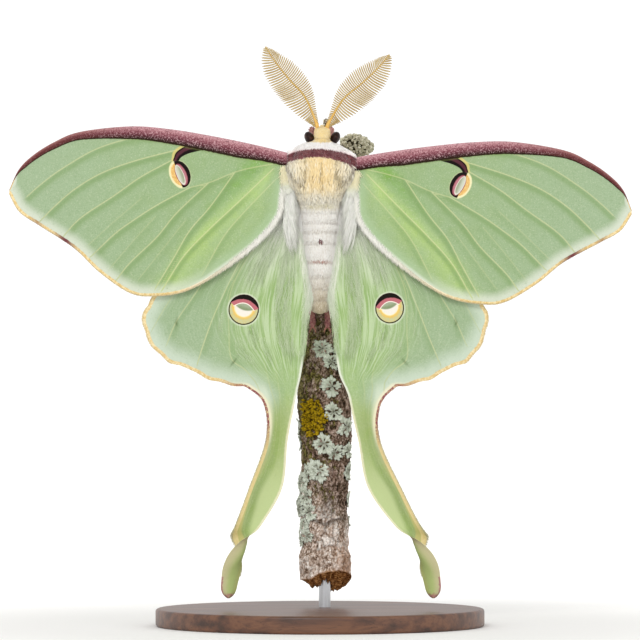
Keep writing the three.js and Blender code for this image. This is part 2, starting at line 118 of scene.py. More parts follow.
class Paint:
    """A material, built up one node at a time round its Principled shader."""

    def __init__(self, name, **constants):
        self.material = bpy.data.materials.new(name)
        self.material.use_nodes = True
        self.tree = self.material.node_tree
        self.shader = self.tree.nodes["Principled BSDF"]
        for socket, value in constants.items():
            self.shader.inputs[socket.replace("_", " ")].default_value = value

    def join(self, value, socket):
        """Links a wire to a socket, or sets the socket to a number, a vector or a colour's code."""
        if isinstance(value, Wire):
            self.tree.links.new(value.socket, socket)
        else:
            socket.default_value = linear(value) if isinstance(value, str) else value

    def add(self, kind, settings, sockets, output=0):
        """One node of a kind: its settings first, then what its sockets hold. Returns an output."""
        node = self.tree.nodes.new(kind)
        for key, value in settings.items():
            if key == "stops":
                ramp = node.color_ramp.elements
                while len(ramp) < len(value):
                    ramp.new(0.5)
                for stop, (place, colour) in zip(ramp, value):
                    stop.position = place
                    stop.color = linear(colour)
            else:
                setattr(node, key, value)
        for key, value in sockets.items():
            self.join(value, node.inputs[key])
        return Wire(self, node.outputs[output])

    def number(self, name):
        """A number that the mesh carries at each point."""
        return self.add("ShaderNodeAttribute", {"attribute_name": name}, {}, "Fac")

    def vector(self, name):
        """A vector that the mesh carries at each point."""
        return self.add("ShaderNodeAttribute", {"attribute_name": name}, {}, "Vector")

    def place(self):
        """The surface point in millimetres."""
        metres = self.add("ShaderNodeTexCoord", {}, {}, "Object")
        return metres.stretch((1000, 1000, 1000))

    def split(self, vector):
        """The three numbers of a vector."""
        first = self.add("ShaderNodeSeparateXYZ", {}, {0: vector})
        return [Wire(self, first.socket.node.outputs[k]) for k in range(3)]

    def mix(self, share, low, high):
        """The colour low where share is 0 and the colour high where it is 1."""
        return self.add("ShaderNodeMix", {"data_type": "RGBA"}, {0: share, 6: low, 7: high}, 2)

    def noise(self, vector, scale, detail=2.0, roughness=0.5):
        """Cloudy noise from 0 to 1 with its middle at 0.5; scale is in cells per unit of the vector."""
        sockets = {"Vector": vector, "Scale": scale, "Detail": detail, "Roughness": roughness}
        return self.add("ShaderNodeTexNoise", {}, sockets)

    def cells(self, vector, scale):
        """Cellular noise: the distance to the nearest of some scattered seeds."""
        return self.add("ShaderNodeTexVoronoi", {}, {"Vector": vector, "Scale": scale}, "Distance")

    def finish(self, colour, relief=None, depth=0.02, roughness=None):
        """Joins the colour, a relief of that depth in millimetres and the roughness to the shader."""
        self.join(colour, self.shader.inputs["Base Color"])
        if roughness is not None:
            self.join(roughness, self.shader.inputs["Roughness"])
        if relief is not None:
            sockets = {"Height": relief, "Distance": depth * 0.001, "Strength": 1.0}
            self.join(self.add("ShaderNodeBump", {}, sockets), self.shader.inputs["Normal"])
        return self.material


def build(name, points, faces, material, numbers=None, vectors=None, corners=None):
    """A smooth mesh object in metres from points in millimetres and arrays of faces, turned outwards.
    numbers and vectors are attributes at its points. corners is its OFBake map, by point or by
    corner of each face."""
    faces = faces if isinstance(faces, list) else [faces]
    fans = np.concatenate([f[:, [0, k, k + 1]] for f in faces for k in range(1, f.shape[1] - 1)])
    a, b, c = (points[fans[:, k]] for k in range(3))
    if np.einsum("ij,ij->", a, np.cross(b, c)) < 0:
        faces = [f[:, ::-1] for f in faces]
        if corners is not None and corners.ndim == 3:
            corners = corners[:, ::-1]
    loops = np.concatenate([f.ravel() for f in faces])
    sizes = np.concatenate([np.full(len(f), f.shape[1]) for f in faces])
    mesh = bpy.data.meshes.new(name)
    mesh.vertices.add(len(points))
    mesh.vertices.foreach_set("co", (points * 0.001).astype(np.float32).ravel())
    mesh.loops.add(len(loops))
    mesh.loops.foreach_set("vertex_index", loops.astype(np.int32))
    mesh.polygons.add(len(sizes))
    mesh.polygons.foreach_set("loop_start", (np.cumsum(sizes) - sizes).astype(np.int32))
    mesh.update(calc_edges=True)
    for key, values in (numbers or {}).items():
        spot = mesh.attributes.new(key, "FLOAT", "POINT")
        spot.data.foreach_set("value", np.asarray(values, np.float32).ravel())
    for key, values in (vectors or {}).items():
        spot = mesh.attributes.new(key, "FLOAT_VECTOR", "POINT")
        spot.data.foreach_set("vector", np.asarray(values, np.float32).ravel())
    if corners is not None:
        layer = mesh.uv_layers.new(name="OFBake")
        by_corner = corners if corners.ndim == 3 else corners[loops]
        layer.data.foreach_set("uv", by_corner.astype(np.float32).ravel())
    mesh.materials.append(material)
    thing = bpy.data.objects.new(name, mesh)
    bpy.context.scene.collection.objects.link(thing)
    return thing


paint = Paint("floor_white", Roughness=0.9, Emission_Strength=0.3)
x, y, _ = paint.split(paint.place())
glow = ((x * x + y * y) ** 0.5).rise(FLOOR_NEAR, FLOOR_FAR)
paint.join(paint.mix(glow, "000000", "FFFFFF"), paint.shader.inputs["Emission Color"])
corners = np.array([[-1, -1, 0], [1, -1, 0], [1, 1, 0], [-1, 1, 0]]) * FLOOR_CORNER
floor = build("studio_floor", corners, np.array([[0, 1, 2, 3]]), paint.finish("EEEDEA"))

world = bpy.data.worlds.new("white_sky")
bpy.context.scene.world = world
world.use_nodes = True
sky = world.node_tree
sky_height = sky.nodes.new("ShaderNodeSeparateXYZ")
sky_ramp = sky.nodes.new("ShaderNodeMapRange")
for socket, value in {"From Min": 0.08, "From Max": 0.45, "To Min": 1.12, "To Max": 0.85}.items():
    sky_ramp.inputs[socket].default_value = value
sky.links.new(sky.nodes.new("ShaderNodeTexCoord").outputs["Generated"], sky_height.inputs[0])
sky.links.new(sky_height.outputs["Z"], sky_ramp.inputs["Value"])
sky.links.new(sky_ramp.outputs["Result"], sky.nodes["Background"].inputs["Strength"])
sky.nodes["Background"].inputs["Color"].default_value = (1, 1, 1, 1)

for lamp_name, strength, softness, tilt, turn in LAMPS:
    lamp = bpy.data.lights.new(lamp_name, "SUN")
    lamp.energy = strength
    lamp.angle = np.radians(softness)
    holder = bpy.data.objects.new(lamp_name, lamp)
    holder.rotation_euler = (np.radians(tilt), 0, np.radians(turn))
    bpy.context.scene.collection.objects.link(holder)

lens = bpy.data.cameras.new("camera")
lens.sensor_width = SENSOR
lens.lens = SENSOR * VIEW_DISTANCE / VIEW_WIDTH
camera = bpy.data.objects.new("camera", lens)
camera.location = (0, WING_PLANE - VIEW_DISTANCE, VIEW_HEIGHT)
camera.rotation_euler = (np.radians(90), 0, 0)
bpy.context.scene.collection.objects.link(camera)
bpy.context.scene.camera = camera
bpy.context.scene.view_settings.view_transform = "Standard"

# ---------------------------------------------------------------- forewings
# Each forewing is a thin membrane stretched over hollow veins and stiffened by the thick,
# maroon costal rib along its front, all covered in tiny overlapping scales. It is made in one
# piece, front and back, and joins the thorax at its root.

BODY_Y = -5.0
OUT_OF_BACK = np.array([0.0, -1.0, 0.0])
SIDES = {
    "left": {"sign": -1, "root": (5.95, 80.5), "droop": 0, "reach": 1, "chord": 1, "bend": 0, "hang": 0,
             "lobe": 0, "antenna_turn": 0, "spot": (12.92, 53.85)},
    "right": {"sign": 1, "root": (6.1, 79.6), "droop": 3.4, "reach": 1.01, "chord": 0.965, "bend": 0.8,
              "hang": 2.9, "lobe": 1.6, "antenna_turn": 8, "spot": (12.4, 54.1)},
}
FOREWING_LEADING = [(-1.3, -0.5), (0, 0), (5.8, 1.4), (12.7, 2.8), (19.4, 3.9), (26.2, 4.4), (34.7, 3.5),
                    (39.2, 1.74), (42.8, -0.5), (45.2, -2.9), (46.8, -6.3)]
FOREWING_TRAILING = [(-1.3, -3.2), (-0.1, -4.6), (0.4, -7.6), (1.1, -11), (4.7, -15.3), (11.5, -20.5),
                     (17, -23.5), (22.2, -24.3), (26.3, -23.7), (31.4, -20.2), (35.7, -16.15),
                     (41.6, -12.3), (45, -10), (46.8, -6.9)]
RIB_WIDTH = [(0, 2.1), (0.05, 2.3), (0.2, 2.8), (0.35, 2.5), (0.55, 1.9), (0.7, 1.2), (0.9, 0.8), (0.97, 0.1)]
WING_DEPTH = {"root": -2, "sweep": 4.2, "span": 52.5}
# Veins as points outward and forward of the costal root, each with its strength.
FOREWING_VEINS = [
    (0.9, [(22.5, 2.6), (26.7, 2.2), (32.3, 0.4), (38, -2.9), (41.4, -5.4), (43.7, -7.4)]),
    (1, [(17.4, 0.6), (25.5, -1.5), (31.2, -3.6), (35.7, -6.3), (39.1, -9.2), (41.6, -11.7)]),
    (1, [(19, -1.3), (24.4, -4.2), (29, -7.4), (33.5, -10.3), (35.7, -12.1), (37.5, -14.2)]),
    (1, [(16.1, -6), (21.7, -9), (26.2, -11.9), (28.9, -13.9), (32.8, -17.6)]),
    (1, [(13, -5.3), (18.3, -10.3), (21.7, -14.4), (26.2, -18.7), (28.5, -21.6)]),
    (1, [(8.5, -3.5), (12.6, -9.2), (16.1, -13.3), (18.8, -17.9), (21.9, -23)]),
    (1.1, [(2, -2.9), (8.1, -8.7), (12.6, -12.9), (17.1, -17.6), (20.8, -23.4)]),
    (0.7, [(1.4, -4.5), (7, -10.3), (10.4, -14.4), (13.9, -20.6)]),
    (0.8, [(0.6, -1.9), (3.6, -2.3), (8.1, -3.3), (12.6, -5.1), (16.1, -6)]),
    (0.35, [(24.5, -8), (29, -11.8), (33.2, -15.6)]),
    (0.35, [(22, -11), (26, -15.4), (29.6, -19.6)]),
    (0.35, [(17, -11.8), (20.6, -16.3), (24.6, -21.3)]),
]
FOREWING_FOLD = FOREWING_VEINS[6][1]
HOOK = [(13.2, 1.15), (14.8, 0.85), (16.2, 0.5), (17.2, 0.02), (17.95, -0.6), (18.45, -1.4)]
FOREWING_SPOT = {"centre": (17.72, -3.72), "down": (-0.394, -0.919), "size": (2.45, 1.72)}
MEMBRANE_HALF = 0.14  # half the thickness of a wing, without its veins
VEIN_WIDTH = 0.105
VEIN_RISE = 0.07
RIB_RISE = 0.34
FOREWING_GRID = (300, 100)


def curve(points, share):
    """Points on a smooth curve through the given ones: between two of them a cubic whose slope at
    each is half the chord between its neighbours. share runs from 0 to 1 over the points."""
    knots = np.asarray(points, float)
    knots = np.vstack([2 * knots[0] - knots[1], knots, 2 * knots[-1] - knots[-2]])
    at = np.clip(share, 0, 1) * (len(knots) - 3)
    k = np.minimum(at.astype(int), len(knots) - 4)
    w = (at - k)[..., None]
    before, start, end, after = (knots[k + i] for i in range(4))
    slope_in, slope_out = (end - before) / 2, (after - start) / 2
    bend = 3 * (end - start) - 2 * slope_in - slope_out
    return start + w * (slope_in + w * (bend + w * (2 * (start - end) + slope_in + slope_out)))


def even_curve(points, share):
    """The same curve, with share as the share of its length."""
    fine = np.linspace(0, 1, 1200)
    steps = np.linalg.norm(np.diff(curve(points, fine), axis=0), axis=1)
    length = np.concatenate([[0], np.cumsum(steps)])
    return curve(points, np.interp(np.asarray(share) * length[-1], length, fine))


def away(spots, points, steps=60):
    """The distance from each spot to the curve through the points, and the side of it that the
    spot is on: the shortest distance to any of its short straight pieces."""
    run = curve(points, np.linspace(0, 1, steps))
    start, along = run[:-1], np.diff(run, axis=0)
    gap = spots[:, None, :] - start
    share = np.clip((gap * along).sum(-1) / (along**2).sum(-1), 0, 1)
    rest = gap - share[..., None] * along
    nearest = np.linalg.norm(rest, axis=-1).argmin(1)
    pick = np.arange(len(spots))
    turn = along[nearest, 0] * gap[pick, nearest, 1] - along[nearest, 1] * gap[pick, nearest, 0]
    return np.linalg.norm(rest[pick, nearest], axis=-1), np.sign(turn)


def wing_depth(outward):
    """How far back a wing lies at a distance from the body's axis: level at first, swept at its tip."""
    return BODY_Y + WING_DEPTH["root"] + WING_DEPTH["sweep"] * (outward / WING_DEPTH["span"]) ** 2


def smooth(value, start, end):
    """0 below start and 1 above end, with a smooth cubic between them."""
    share = np.clip((value - start) / (end - start), 0, 1)
    return share * share * (3 - 2 * share)


def bell(value, width):
    """1 at 0, falling off to nothing over a few widths on both sides."""
    return np.exp(-((value / width) ** 2))


def closed_sheet(front, back):
    """Points, quads and map corners of closed skins, each between two sheets of rows by columns of
    points: the front sheet, the back sheet turned round, and a narrow strip along the whole rim.
    Both are (rows, cols, 3) or, for many like skins at once, (skins, rows, cols, 3)."""
    rows, cols = front.shape[-3:-1]
    index = np.arange(rows * cols).reshape(rows, cols)
    quads = np.stack([index[:-1, :-1], index[:-1, 1:], index[1:, 1:], index[1:, :-1]], -1).reshape(-1, 4)
    rim = np.concatenate([index[0, :-1], index[:-1, -1], index[-1, :0:-1], index[:0:-1, 0]])
    onward = np.roll(rim, -1)
    strip = np.stack([rim, rim + rows * cols, onward + rows * cols, onward], -1)
    faces = np.concatenate([quads, quads[:, ::-1] + rows * cols, strip])
    across, along = np.meshgrid(np.linspace(0.02, 0.48, cols), np.linspace(0.02, 0.98, rows))
    half = np.stack([along.ravel(), across.ravel()], -1)
    wider = (half - (0.5, 0.25)) * 1.01 + (0.5, 0.25)
    corners = np.concatenate([half[quads], half[quads[:, ::-1]] + (0, 0.5),
                              np.stack([half[rim], wider[rim], wider[onward], half[onward]], 1)])
    both = np.stack([front.reshape(-1, rows * cols, 3), back.reshape(-1, rows * cols, 3)], 1)
    skins = len(both)
    shift = np.arange(skins)[:, None, None] * 2 * rows * cols
    faces = (faces + shift).reshape(-1, 4)
    return both.reshape(-1, 3), faces, np.tile(corners, (skins, 1, 1))


def forewing_plan(span, across):
    """A flat point of the forewing, outward and forward of its root, and its rib's width there."""
    lead, trail = even_curve(FOREWING_LEADING, span), even_curve(FOREWING_TRAILING, span)
    chord = np.linalg.norm(trail - lead, axis=-1)
    return lead + (trail - lead) * across[..., None], chord * across


def forewing_surface(side, plan):
    """Where a flat point of the forewing lies: scaled to the side's reach and chord, drooped about
    the root, and carried back by the wing's sweep."""
    droop = np.radians(side["droop"])
    out, ahead = plan[..., 0] * side["reach"], plan[..., 1] * side["chord"]
    outward = side["root"][0] + out * np.cos(droop) + ahead * np.sin(droop)
    height = side["root"][1] + ahead * np.cos(droop) - out * np.sin(droop)
    return np.stack([side["sign"] * outward, wing_depth(outward), height], -1)


def wing_green(paint, where, under):
    """The green of both wings and its grain of scales: lusher near the folds, bluer outwards, with painted
    shade on one side of each vein, and with paler and darker grains and faint clouds. Also returns the grain,
    its coarser specks and the veins, each a pale line where gap, the distance to it, is small."""
    grain = paint.noise(where, 4.5, 2, 0.6)
    speck = paint.noise(where, 2.2, 3, 0.7)
    cloud = paint.noise(where, 0.35, 3, 0.6)
    vein = abs(paint.number("gap")).rise(0.17, 0.02) * paint.number("vein")
    green = paint.mix(paint.number("outward").rise(10, 44), "8FA676", "96AA88")
    green = green.layers(
        (paint.number("lush"), "ABC476"),
        (paint.number("deep"), "78A048"),
        (cloud.rise(0.3, 0.7) * 0.35, "99AE8D"),
        (speck.rise(0.55, 0.75) * 0.3, "AAB896"),
        (speck.rise(0.45, 0.25) * 0.3, "7E956C"),
        (grain.rise(0.55, 0.72) * 0.4, "C0C9AA"),
        (grain.rise(0.46, 0.3) * 0.35, "768F64"),
        # painted shade on the side of each vein that faces away from the light
        (paint.number("shade") * 0.6, "76935A"),
        (vein * 0.55, "CACC9A"))
    return green.mix(under * 0.45, "B6C2A3"), grain, speck, vein


paint = Paint("forewing_scales", Roughness=0.85, Specular_IOR_Level=0.12)
where = paint.place()
under = paint.number("under")
colour, grain, speck, vein = wing_green(paint, where, under)
edge = paint.number("edge")
inner = paint.number("inner")
frosted = edge.rise(2.6, 0.6) * (1 - vein) * speck.rise(0.05, 0.45)
ragged = edge + (speck - 0.5) * 0.18
rim_width = 0.42 - inner * 0.2
rim_colour = paint.mix(speck.rise(0.35, 0.65), "D2B272", "E8D5A4")
rim_colour = rim_colour.mix(inner * 0.95, "F1EDE0").mix(paint.number("rose"), "6E3A40")
colour = colour.layers(
    (frosted * 0.7 * (1 - inner), "D6DACC"),
    (edge.rise(2.6, 0.9) * inner * 0.45, "A9C09A"),
    (edge.rise(1.0, 0.3) * inner * 0.7, "DFE3D6"),
    (paint.number("cream") * speck.rise(0.25, 0.55), "E9DDA6"),
    ((ragged - rim_width).rise(0.06, -0.06), rim_colour))

# the eyespot, from the outside: a cream ring, then gold on the far side and black towards the
# body, and within them pink, white and a clear, grey-green lens, each an oval in the last one
down, right, _ = paint.split(paint.vector("spot"))
right = right + (speck - 0.5) * 0.07
down = down + (paint.noise(where, 1.8, 2, 0.6) - 0.5) * 0.04


def oval(centre_down, centre_right, half_down, half_right):
    """How far out a point is in an oval: 0 at its centre and 1 on its rim."""
    from_down, from_right = (down - centre_down) / half_down, (right - centre_right) / half_right
    return (from_down * from_down + from_right * from_right) ** 0.5


far_side = (right + down * 0.12).rise(-0.16, -0.24)
whole = oval(0.0, 0.0, 1.0, 1.0)
pink = oval(0.06, 0.09, 0.8, 0.52)
gold = paint.mix(speck.rise(0.3, 0.7), "CDA05A", "E8C582")
lens_colour = paint.mix((right + down * 0.1).rise(-0.2, 0.2), "C2C5B2", "969C82")
colour = colour.layers(
    (whole.rise(1.08, 0.98) * (0.3 + far_side * 0.6), "E6DEB0"),
    ((whole + far_side * 0.12).rise(1.0, 0.94), paint.mix(far_side, "17110F", gold)),
    (pink.rise(1.03, 0.97), paint.mix(pink.rise(0.8, 1.0), "B0727A", "7C3C46")),
    (oval(0.05, -0.01, 0.74, 0.34).rise(1.05, 0.97), "DDD6CA"),
    (oval(0.03, -0.01, 0.68, 0.3).rise(1.1, 0.85), lens_colour))

# the hook that ties the eyespot to the rib: maroon, black along both edges, gold outside
hook = paint.number("hook")
hook_end = paint.number("hook_end")
middle = (abs(hook - 0.25) + (speck - 0.5) * 0.3).rise(0.55, 0.2)
colour = colour.layers(
    (abs(hook - 1.2).rise(0.42, 0.2) * hook_end * 0.8, "CDBE74"),
    (abs(hook).rise(1.0, 0.86) * hook_end, "150E0D"),
    (middle * hook_end * 0.75, "5C303A"))

# the costal rib: rosy and frosted above, maroon in the middle, dark along its lower edge; its rosy top is
# partly painted light and its dark lower edge is painted shade, as on a tube lit from above
rib = paint.number("rib")
frost = paint.noise(where, 4.2, 3, 0.75)
outer_share = paint.number("outward").rise(22, 40)
rib_edge = rib + (speck - 0.5) * 0.12
rib_colour = (rib + (frost - 0.5) * 0.5).ramp(
    (0.0, "C4979C"), (0.25, "A67278"), (0.5, "7E4650"), (0.75, "562C34"), (0.92, "2A1A14"))
rib_colour = rib_colour.layers(
    (frost.rise(0.52, 0.6) * 0.6, "D0A8AC"),
    (frost.rise(0.48, 0.38) * 0.7, "4A2229"),
    (outer_share * 0.8, paint.mix(rib.rise(0.05, 0.5), "8A5850", "592C28")))
# below the rib: an olive strip, partly the wing's own yellow-green line and partly painted shadow, then a
# dark line of painted shadow along the rib's lower edge
colour = colour.layers(
    (rib_edge.rise(1.3, 1.06) * (1 - outer_share) * 0.5, "6E7A3C"),
    (rib_edge.rise(1.16, 1.1), "2A1D12"),
    (rib_edge.rise(1.02, 0.94), rib_colour))
forewing_material = paint.finish(colour, grain + frost * 0.5, 0.035)


def vein_marks(flat, veins):
    """How high a vein rises at each flat point, how much painted shade the point gets in the fold behind one,
    how far the broad, low roof that a vein carries lifts it, and the distance to the nearest vein, ahead of
    it or behind it, with that vein's strength where it is near."""
    ridge, shade, roof, gap, near = (np.zeros(len(flat)) for _ in range(5))
    nearest = np.full(len(flat), 9.0)
    for strength, points in veins:
        distance, ahead = away(flat, points)
        ridge = np.maximum(ridge, strength * bell(distance, VEIN_WIDTH))
        # painted shade in the fold on the lower side of each vein, as if lit from above
        shade = np.maximum(shade, strength * (ahead < 0) * bell(distance - 0.5, 0.55))
        roof = np.maximum(roof, strength * bell(distance, 0.9))
        gap = np.where(distance < nearest, distance * ahead, gap)
        near = np.where(distance < nearest, strength * smooth(distance, 0.7, 0.35), near)
        nearest = np.minimum(distance, nearest)
    return ridge, shade, roof, gap, near


def rosy_rim(outward):
    """How rosy the forewing's outer edge is: a bell-shaped patch near its tip and a fainter one beyond."""
    return bell(outward - 37.2, 1.6) + 0.5 * bell(outward - 42, 1.0)


def both_faces(values):
    """Numbers or vectors at a sheet's points, once for its front and once for its back."""
    return {key: np.concatenate([each, each]) for key, each in values.items()}


for name, side in SIDES.items():
    span, across = np.meshgrid(*(np.linspace(0, 1, n) for n in FOREWING_GRID), indexing="ij")
    plan, inwards = forewing_plan(span, across)
    flat = plan.reshape(-1, 2)
    ridge, shade, roof, gap, near = vein_marks(flat, FOREWING_VEINS)
    rib = (inwards / np.interp(span, *np.array(RIB_WIDTH).T)).ravel()
    to_edge, _ = away(flat, FOREWING_TRAILING, 120)
    to_edge = np.minimum(to_edge, inwards.ravel() + 6 * smooth(span.ravel(), 0.955, 0.9))
    fold, fold_side = away(flat, FOREWING_FOLD)
    hook, hook_side = away(flat, HOOK)
    spot = flat - FOREWING_SPOT["centre"]
    down = np.array(FOREWING_SPOT["down"])
    spot = np.stack([spot @ down / FOREWING_SPOT["size"][0],
                     spot @ np.array([down[1], -down[0]]) / FOREWING_SPOT["size"][1], spot[:, 0] * 0], -1)
    wave = 0.13 * roof + 0.05 * np.sin(flat @ (0.55, 0.9))
    wave = wave * smooth(to_edge, 0, 2.5) * smooth(rib, 1.0, 1.5)
    bulge = RIB_RISE * np.sqrt(np.clip(1 - (2 * np.clip(rib, 0, 1) - 1) ** 2, 0, 1))
    bulge = bulge * smooth(span.ravel(), 1.0, 0.9)
    thin = 0.25 + 0.75 * smooth(np.minimum(to_edge, inwards.ravel()), 0, 0.8)
    half = (MEMBRANE_HALF * thin + bulge)[:, None]
    centre = forewing_surface(side, plan).reshape(-1, 3)
    front = centre + OUT_OF_BACK * (half + (VEIN_RISE * ridge * thin + wave)[:, None])
    back = centre - OUT_OF_BACK * (half + (VEIN_RISE * ridge * thin - wave)[:, None])
    grid = (*FOREWING_GRID, 3)
    points, faces, corners = closed_sheet(front.reshape(grid), back.reshape(grid))
    outward, ahead = flat.T
    wing = build(
        f"forewing_skin_{name}", points, faces, forewing_material,
        numbers=both_faces({
            "gap": gap,
            "vein": near * smooth(rib, 1, 1.3),
            "rib": rib,
            "edge": to_edge,
            "inner": smooth(outward, 21, 9),
            "rose": rosy_rim(outward),
            "outward": outward,
            "lush": (0.8 * bell(fold, 1.3) * smooth(outward, 0.5, 4)
                     + 0.45 * (fold_side < 0) * smooth(fold, 7, 1) * smooth(outward, 0, 5)),
            "deep": (fold_side > 0) * bell(fold - 2.6, 1.5) * smooth(outward, 16, 5),
            # painted shade behind each vein, faded out near the root
            "shade": shade * smooth(outward, 3, 9),
            "cream": 0.8 * smooth(np.hypot((outward + 0.8) * 1.5, (ahead + 4) * 0.8), 3.0, 0.8),
            "hook": hook * hook_side / (0.5 + 0.25 * smooth(ahead, -1.2, 0.0)),
            "hook_end": smooth(outward, 13.4, 14.6) * smooth(ahead, -1.75, -1.4),
        }) | {"under": np.repeat([0.0, 1.0], len(flat))},
        vectors=both_faces({"spot": spot}),
        corners=corners,
    )
    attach(wing, "root")
    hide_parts(f"forewing_{name}", f"costa_{name}")

# ---------------------------------------------------------------- hindwings
# Each hindwing carries a round eyespot and runs out in a long tail, whose lower end has turned
# over so that its underside shows. Wing and tail are one membrane, whose root lies behind the
# forewing's, and long silky hair covers its half beside the body.

HINDWING_OUTER = [(5.8, 75), (14.4, 69.6), (24.4, 60.4), (29.9, 53.3), (28.2, 47.5), (23, 44.2), (15.6, 41.2),
                  (10.9, 39.7), (9.1, 36.7), (9.2, 31.3), (11.9, 23.7), (14.3, 17.3), (16, 14.5),
                  (16.5, 10.5), (16.8, 7.1), (16.9, 5)]
HINDWING_INNER = [(5, 72.4), (3.8, 67), (2.9, 61.4), (2.2, 56.4), (2.25, 51.6), (2.6, 47), (3.2, 42.9),
                  (3.8, 40.2), (4.5, 36.9), (5.5, 31.6), (6.4, 23.7), (9.95, 17.3), (12.3, 14.5),
                  (13.1, 10.5), (14, 7.1), (14.1, 5)]
# share along the edge, height and width of each low scallop of the outer edge
SCALLOPS = [(0.186, -0.27, 0.008), (0.232, -0.2, 0.012), (0.262, 0.15, 0.012), (0.309, 0.5, 0.014),
            (0.371, 0.38, 0.011), (0.434, -0.42, 0.016)]
TUCK = 1.3  # beside the body the inner edge reaches this far under its fur
TAIL = {"start": 0.5, "twist": (0.71, 0.915), "cup": (0.7, 1.1), "bend": (0.38, 0.5), "hang": (0.55, 0.86),
        "tip": 0.93}
TAIL_ROSE = [(0.37, 0.43), (0.62, 0.56)]  # shares where the rosy stretch of the edge begins and ends
HINDWING_BEHIND = 1.2
HINDWING_VEINS = [
    (1, [(7, 72), (11, 66.5), (14.1, 61), (17.6, 53.7), (19.6, 48.4), (20.8, 44.6)]),
    (0.8, [(7, 70), (10.5, 65), (13.3, 61), (15.3, 56), (15.4, 50), (15, 45.6), (12.6, 43.6), (10.6, 41),
           (9.9, 38.2)]),
    (0.6, [(9.4, 57), (10.2, 49.3), (9.7, 46.4), (8.5, 41), (7.4, 37), (7.5, 33), (8.5, 28.4), (11.0, 23.5),
           (12.1, 20), (13.1, 16.6), (14.2, 14)]),
    (0.8, [(10, 70.5), (16, 64), (21.1, 56.6), (24.3, 51.9), (26, 47.9)]),
    (0.6, [(12, 70), (20, 62.5), (25.4, 55.5), (28.6, 50.2)]),
    (0.4, [(8, 60), (8.2, 52), (7.6, 45), (6.7, 38), (6.9, 31), (8.3, 24)]),
]
HINDWING_SPOT_SIZE = 2.58
HINDWING_SPOT_TILT = 13.5  # degrees by which the crescents lean towards the body
FLECKS = [((24.3, 51.6), (0.22, 0.75)), ((14.6, 45), (0.5, 0.25))]
HINDWING_GRID = (380, 84)


def outer_rim(along):
    """The hindwing's outer edge: the curve through its points, moved square to it by the scallops."""
    point, onward = curve(HINDWING_OUTER, along), curve(HINDWING_OUTER, along + 0.002)
    step = onward - point
    out = np.stack([-step[..., 1], step[..., 0]], -1)
    out = out / np.maximum(np.linalg.norm(out, axis=-1, keepdims=True), 1e-6)
    return point + out * sum(high * bell(along - at, wide) for at, high, wide in SCALLOPS)[..., None]


def inner_rim(along):
    """The hindwing's inner edge: the curve through its points, tucked in beside the body."""
    point = curve(HINDWING_INNER, along)
    return point - np.stack([TUCK * smooth(point[..., 1], 50, 60), 0 * along], -1)


def hindwing_point(side, along, across, lift=0.0):
    """A point of the hindwing or tail: along from root to tail tip, across from the outer edge to
    the inner one, lifted off the upper face. Its cross-line is straight on the wing, troughed on
    the tail, and makes half a turn about its middle where the tail twists."""
    outer, inner = outer_rim(along), inner_rim(along)
    rounding = np.clip(1 - ((along - TAIL["tip"]) / (1.002 - TAIL["tip"])) ** 2, 0, 1) ** 0.65
    rounding = np.where(along > TAIL["tip"], rounding, 1.0)[..., None]
    middle, half = (outer + inner) / 2, (outer - inner) / 2 * rounding
    tail = np.clip((along - TAIL["start"]) / (1 - TAIL["start"]), 0, 1)
    turn = np.pi * smooth(along, *TAIL["twist"])
    place = 1 - 2 * across
    cup = (TAIL["cup"][0] + TAIL["cup"][1] * np.sin(turn)) * smooth(along, 0.46, 0.64) * (1 - place**2)
    wider = (side["bend"] * smooth(along, *TAIL["bend"]) + side["hang"] * smooth(along, *TAIL["hang"])
             - side["lobe"] * (1 - across) * bell(along - 0.22, 0.1))
    reach = place * half[..., 0]
    outward = middle[..., 0] + reach * np.cos(turn) - cup * np.sin(turn) + wider
    depth = wing_depth(middle[..., 0] + reach) + HINDWING_BEHIND + reach * np.sin(turn) + cup * np.cos(turn)
    depth = depth + 1.5 * np.sin(np.pi * tail) * smooth(tail, 0, 0.3)
    height = middle[..., 1] + place * half[..., 1]
    outward = outward + lift * np.sin(turn)
    return np.stack([side["sign"] * outward, depth - lift * np.cos(turn), height], -1)


def tail_rose(along):
    """How rosy the hindwing's edge is: fully so along a stretch at the foot of the tail."""
    return smooth(along, *TAIL_ROSE[0]) * smooth(along, *TAIL_ROSE[1])


def even_rows(rows):
    """Shares along the hindwing's knots that are even in its length."""
    fine = np.linspace(0, 1, 800)
    middle = (curve(HINDWING_OUTER, fine) + curve(HINDWING_INNER, fine)) / 2
    outer_steps = np.linalg.norm(np.diff(curve(HINDWING_OUTER, fine), axis=0), axis=1)
    steps = (np.linalg.norm(np.diff(middle, axis=0), axis=1) + outer_steps) / 2
    length = np.concatenate([[0], np.cumsum(steps)])
    return np.interp(np.linspace(0, length[-1], rows), length, fine)


paint = Paint("hindwing_scales", Roughness=0.85, Specular_IOR_Level=0.12)
where = paint.place()
under = paint.number("under")
colour, grain, speck, vein = wing_green(paint, where, under)
lane = paint.vector("lane")
streak = paint.noise(lane, 1.0, 2, 0.6)
silk = paint.number("silk")
silky = paint.mix(streak.rise(0.38, 0.62), "80A058", "C0D0AA")
colour = colour.mix(silk * 0.6, silky)
rays = streak.rise(0.5, 0.7) * (1 - silk) * 0.25
colour = colour.mix(rays, "B4C4A6")
white = paint.number("white") * streak.rise(0.15, 0.5)
colour = colour.layers(
    (white, "DCDDD0"),
    (paint.number("pale"), "D2D8B4"),
    (paint.number("mint"), "B4C894"))
tail = paint.number("tail")
colour = colour.mix(tail * 0.2, "C6BE74")
colour = colour.mix(paint.number("straw"), "C4BC78")
edge = paint.number("edge")
inner_edge = paint.number("inner_edge")
ragged = edge + (speck - 0.5) * 0.2
frosted = edge.rise(4.0, 0.6) * (1 - vein) * speck.rise(0.0, 0.45) * (1 - tail)
colour = colour.mix(frosted * 0.65, "CDD8CA")
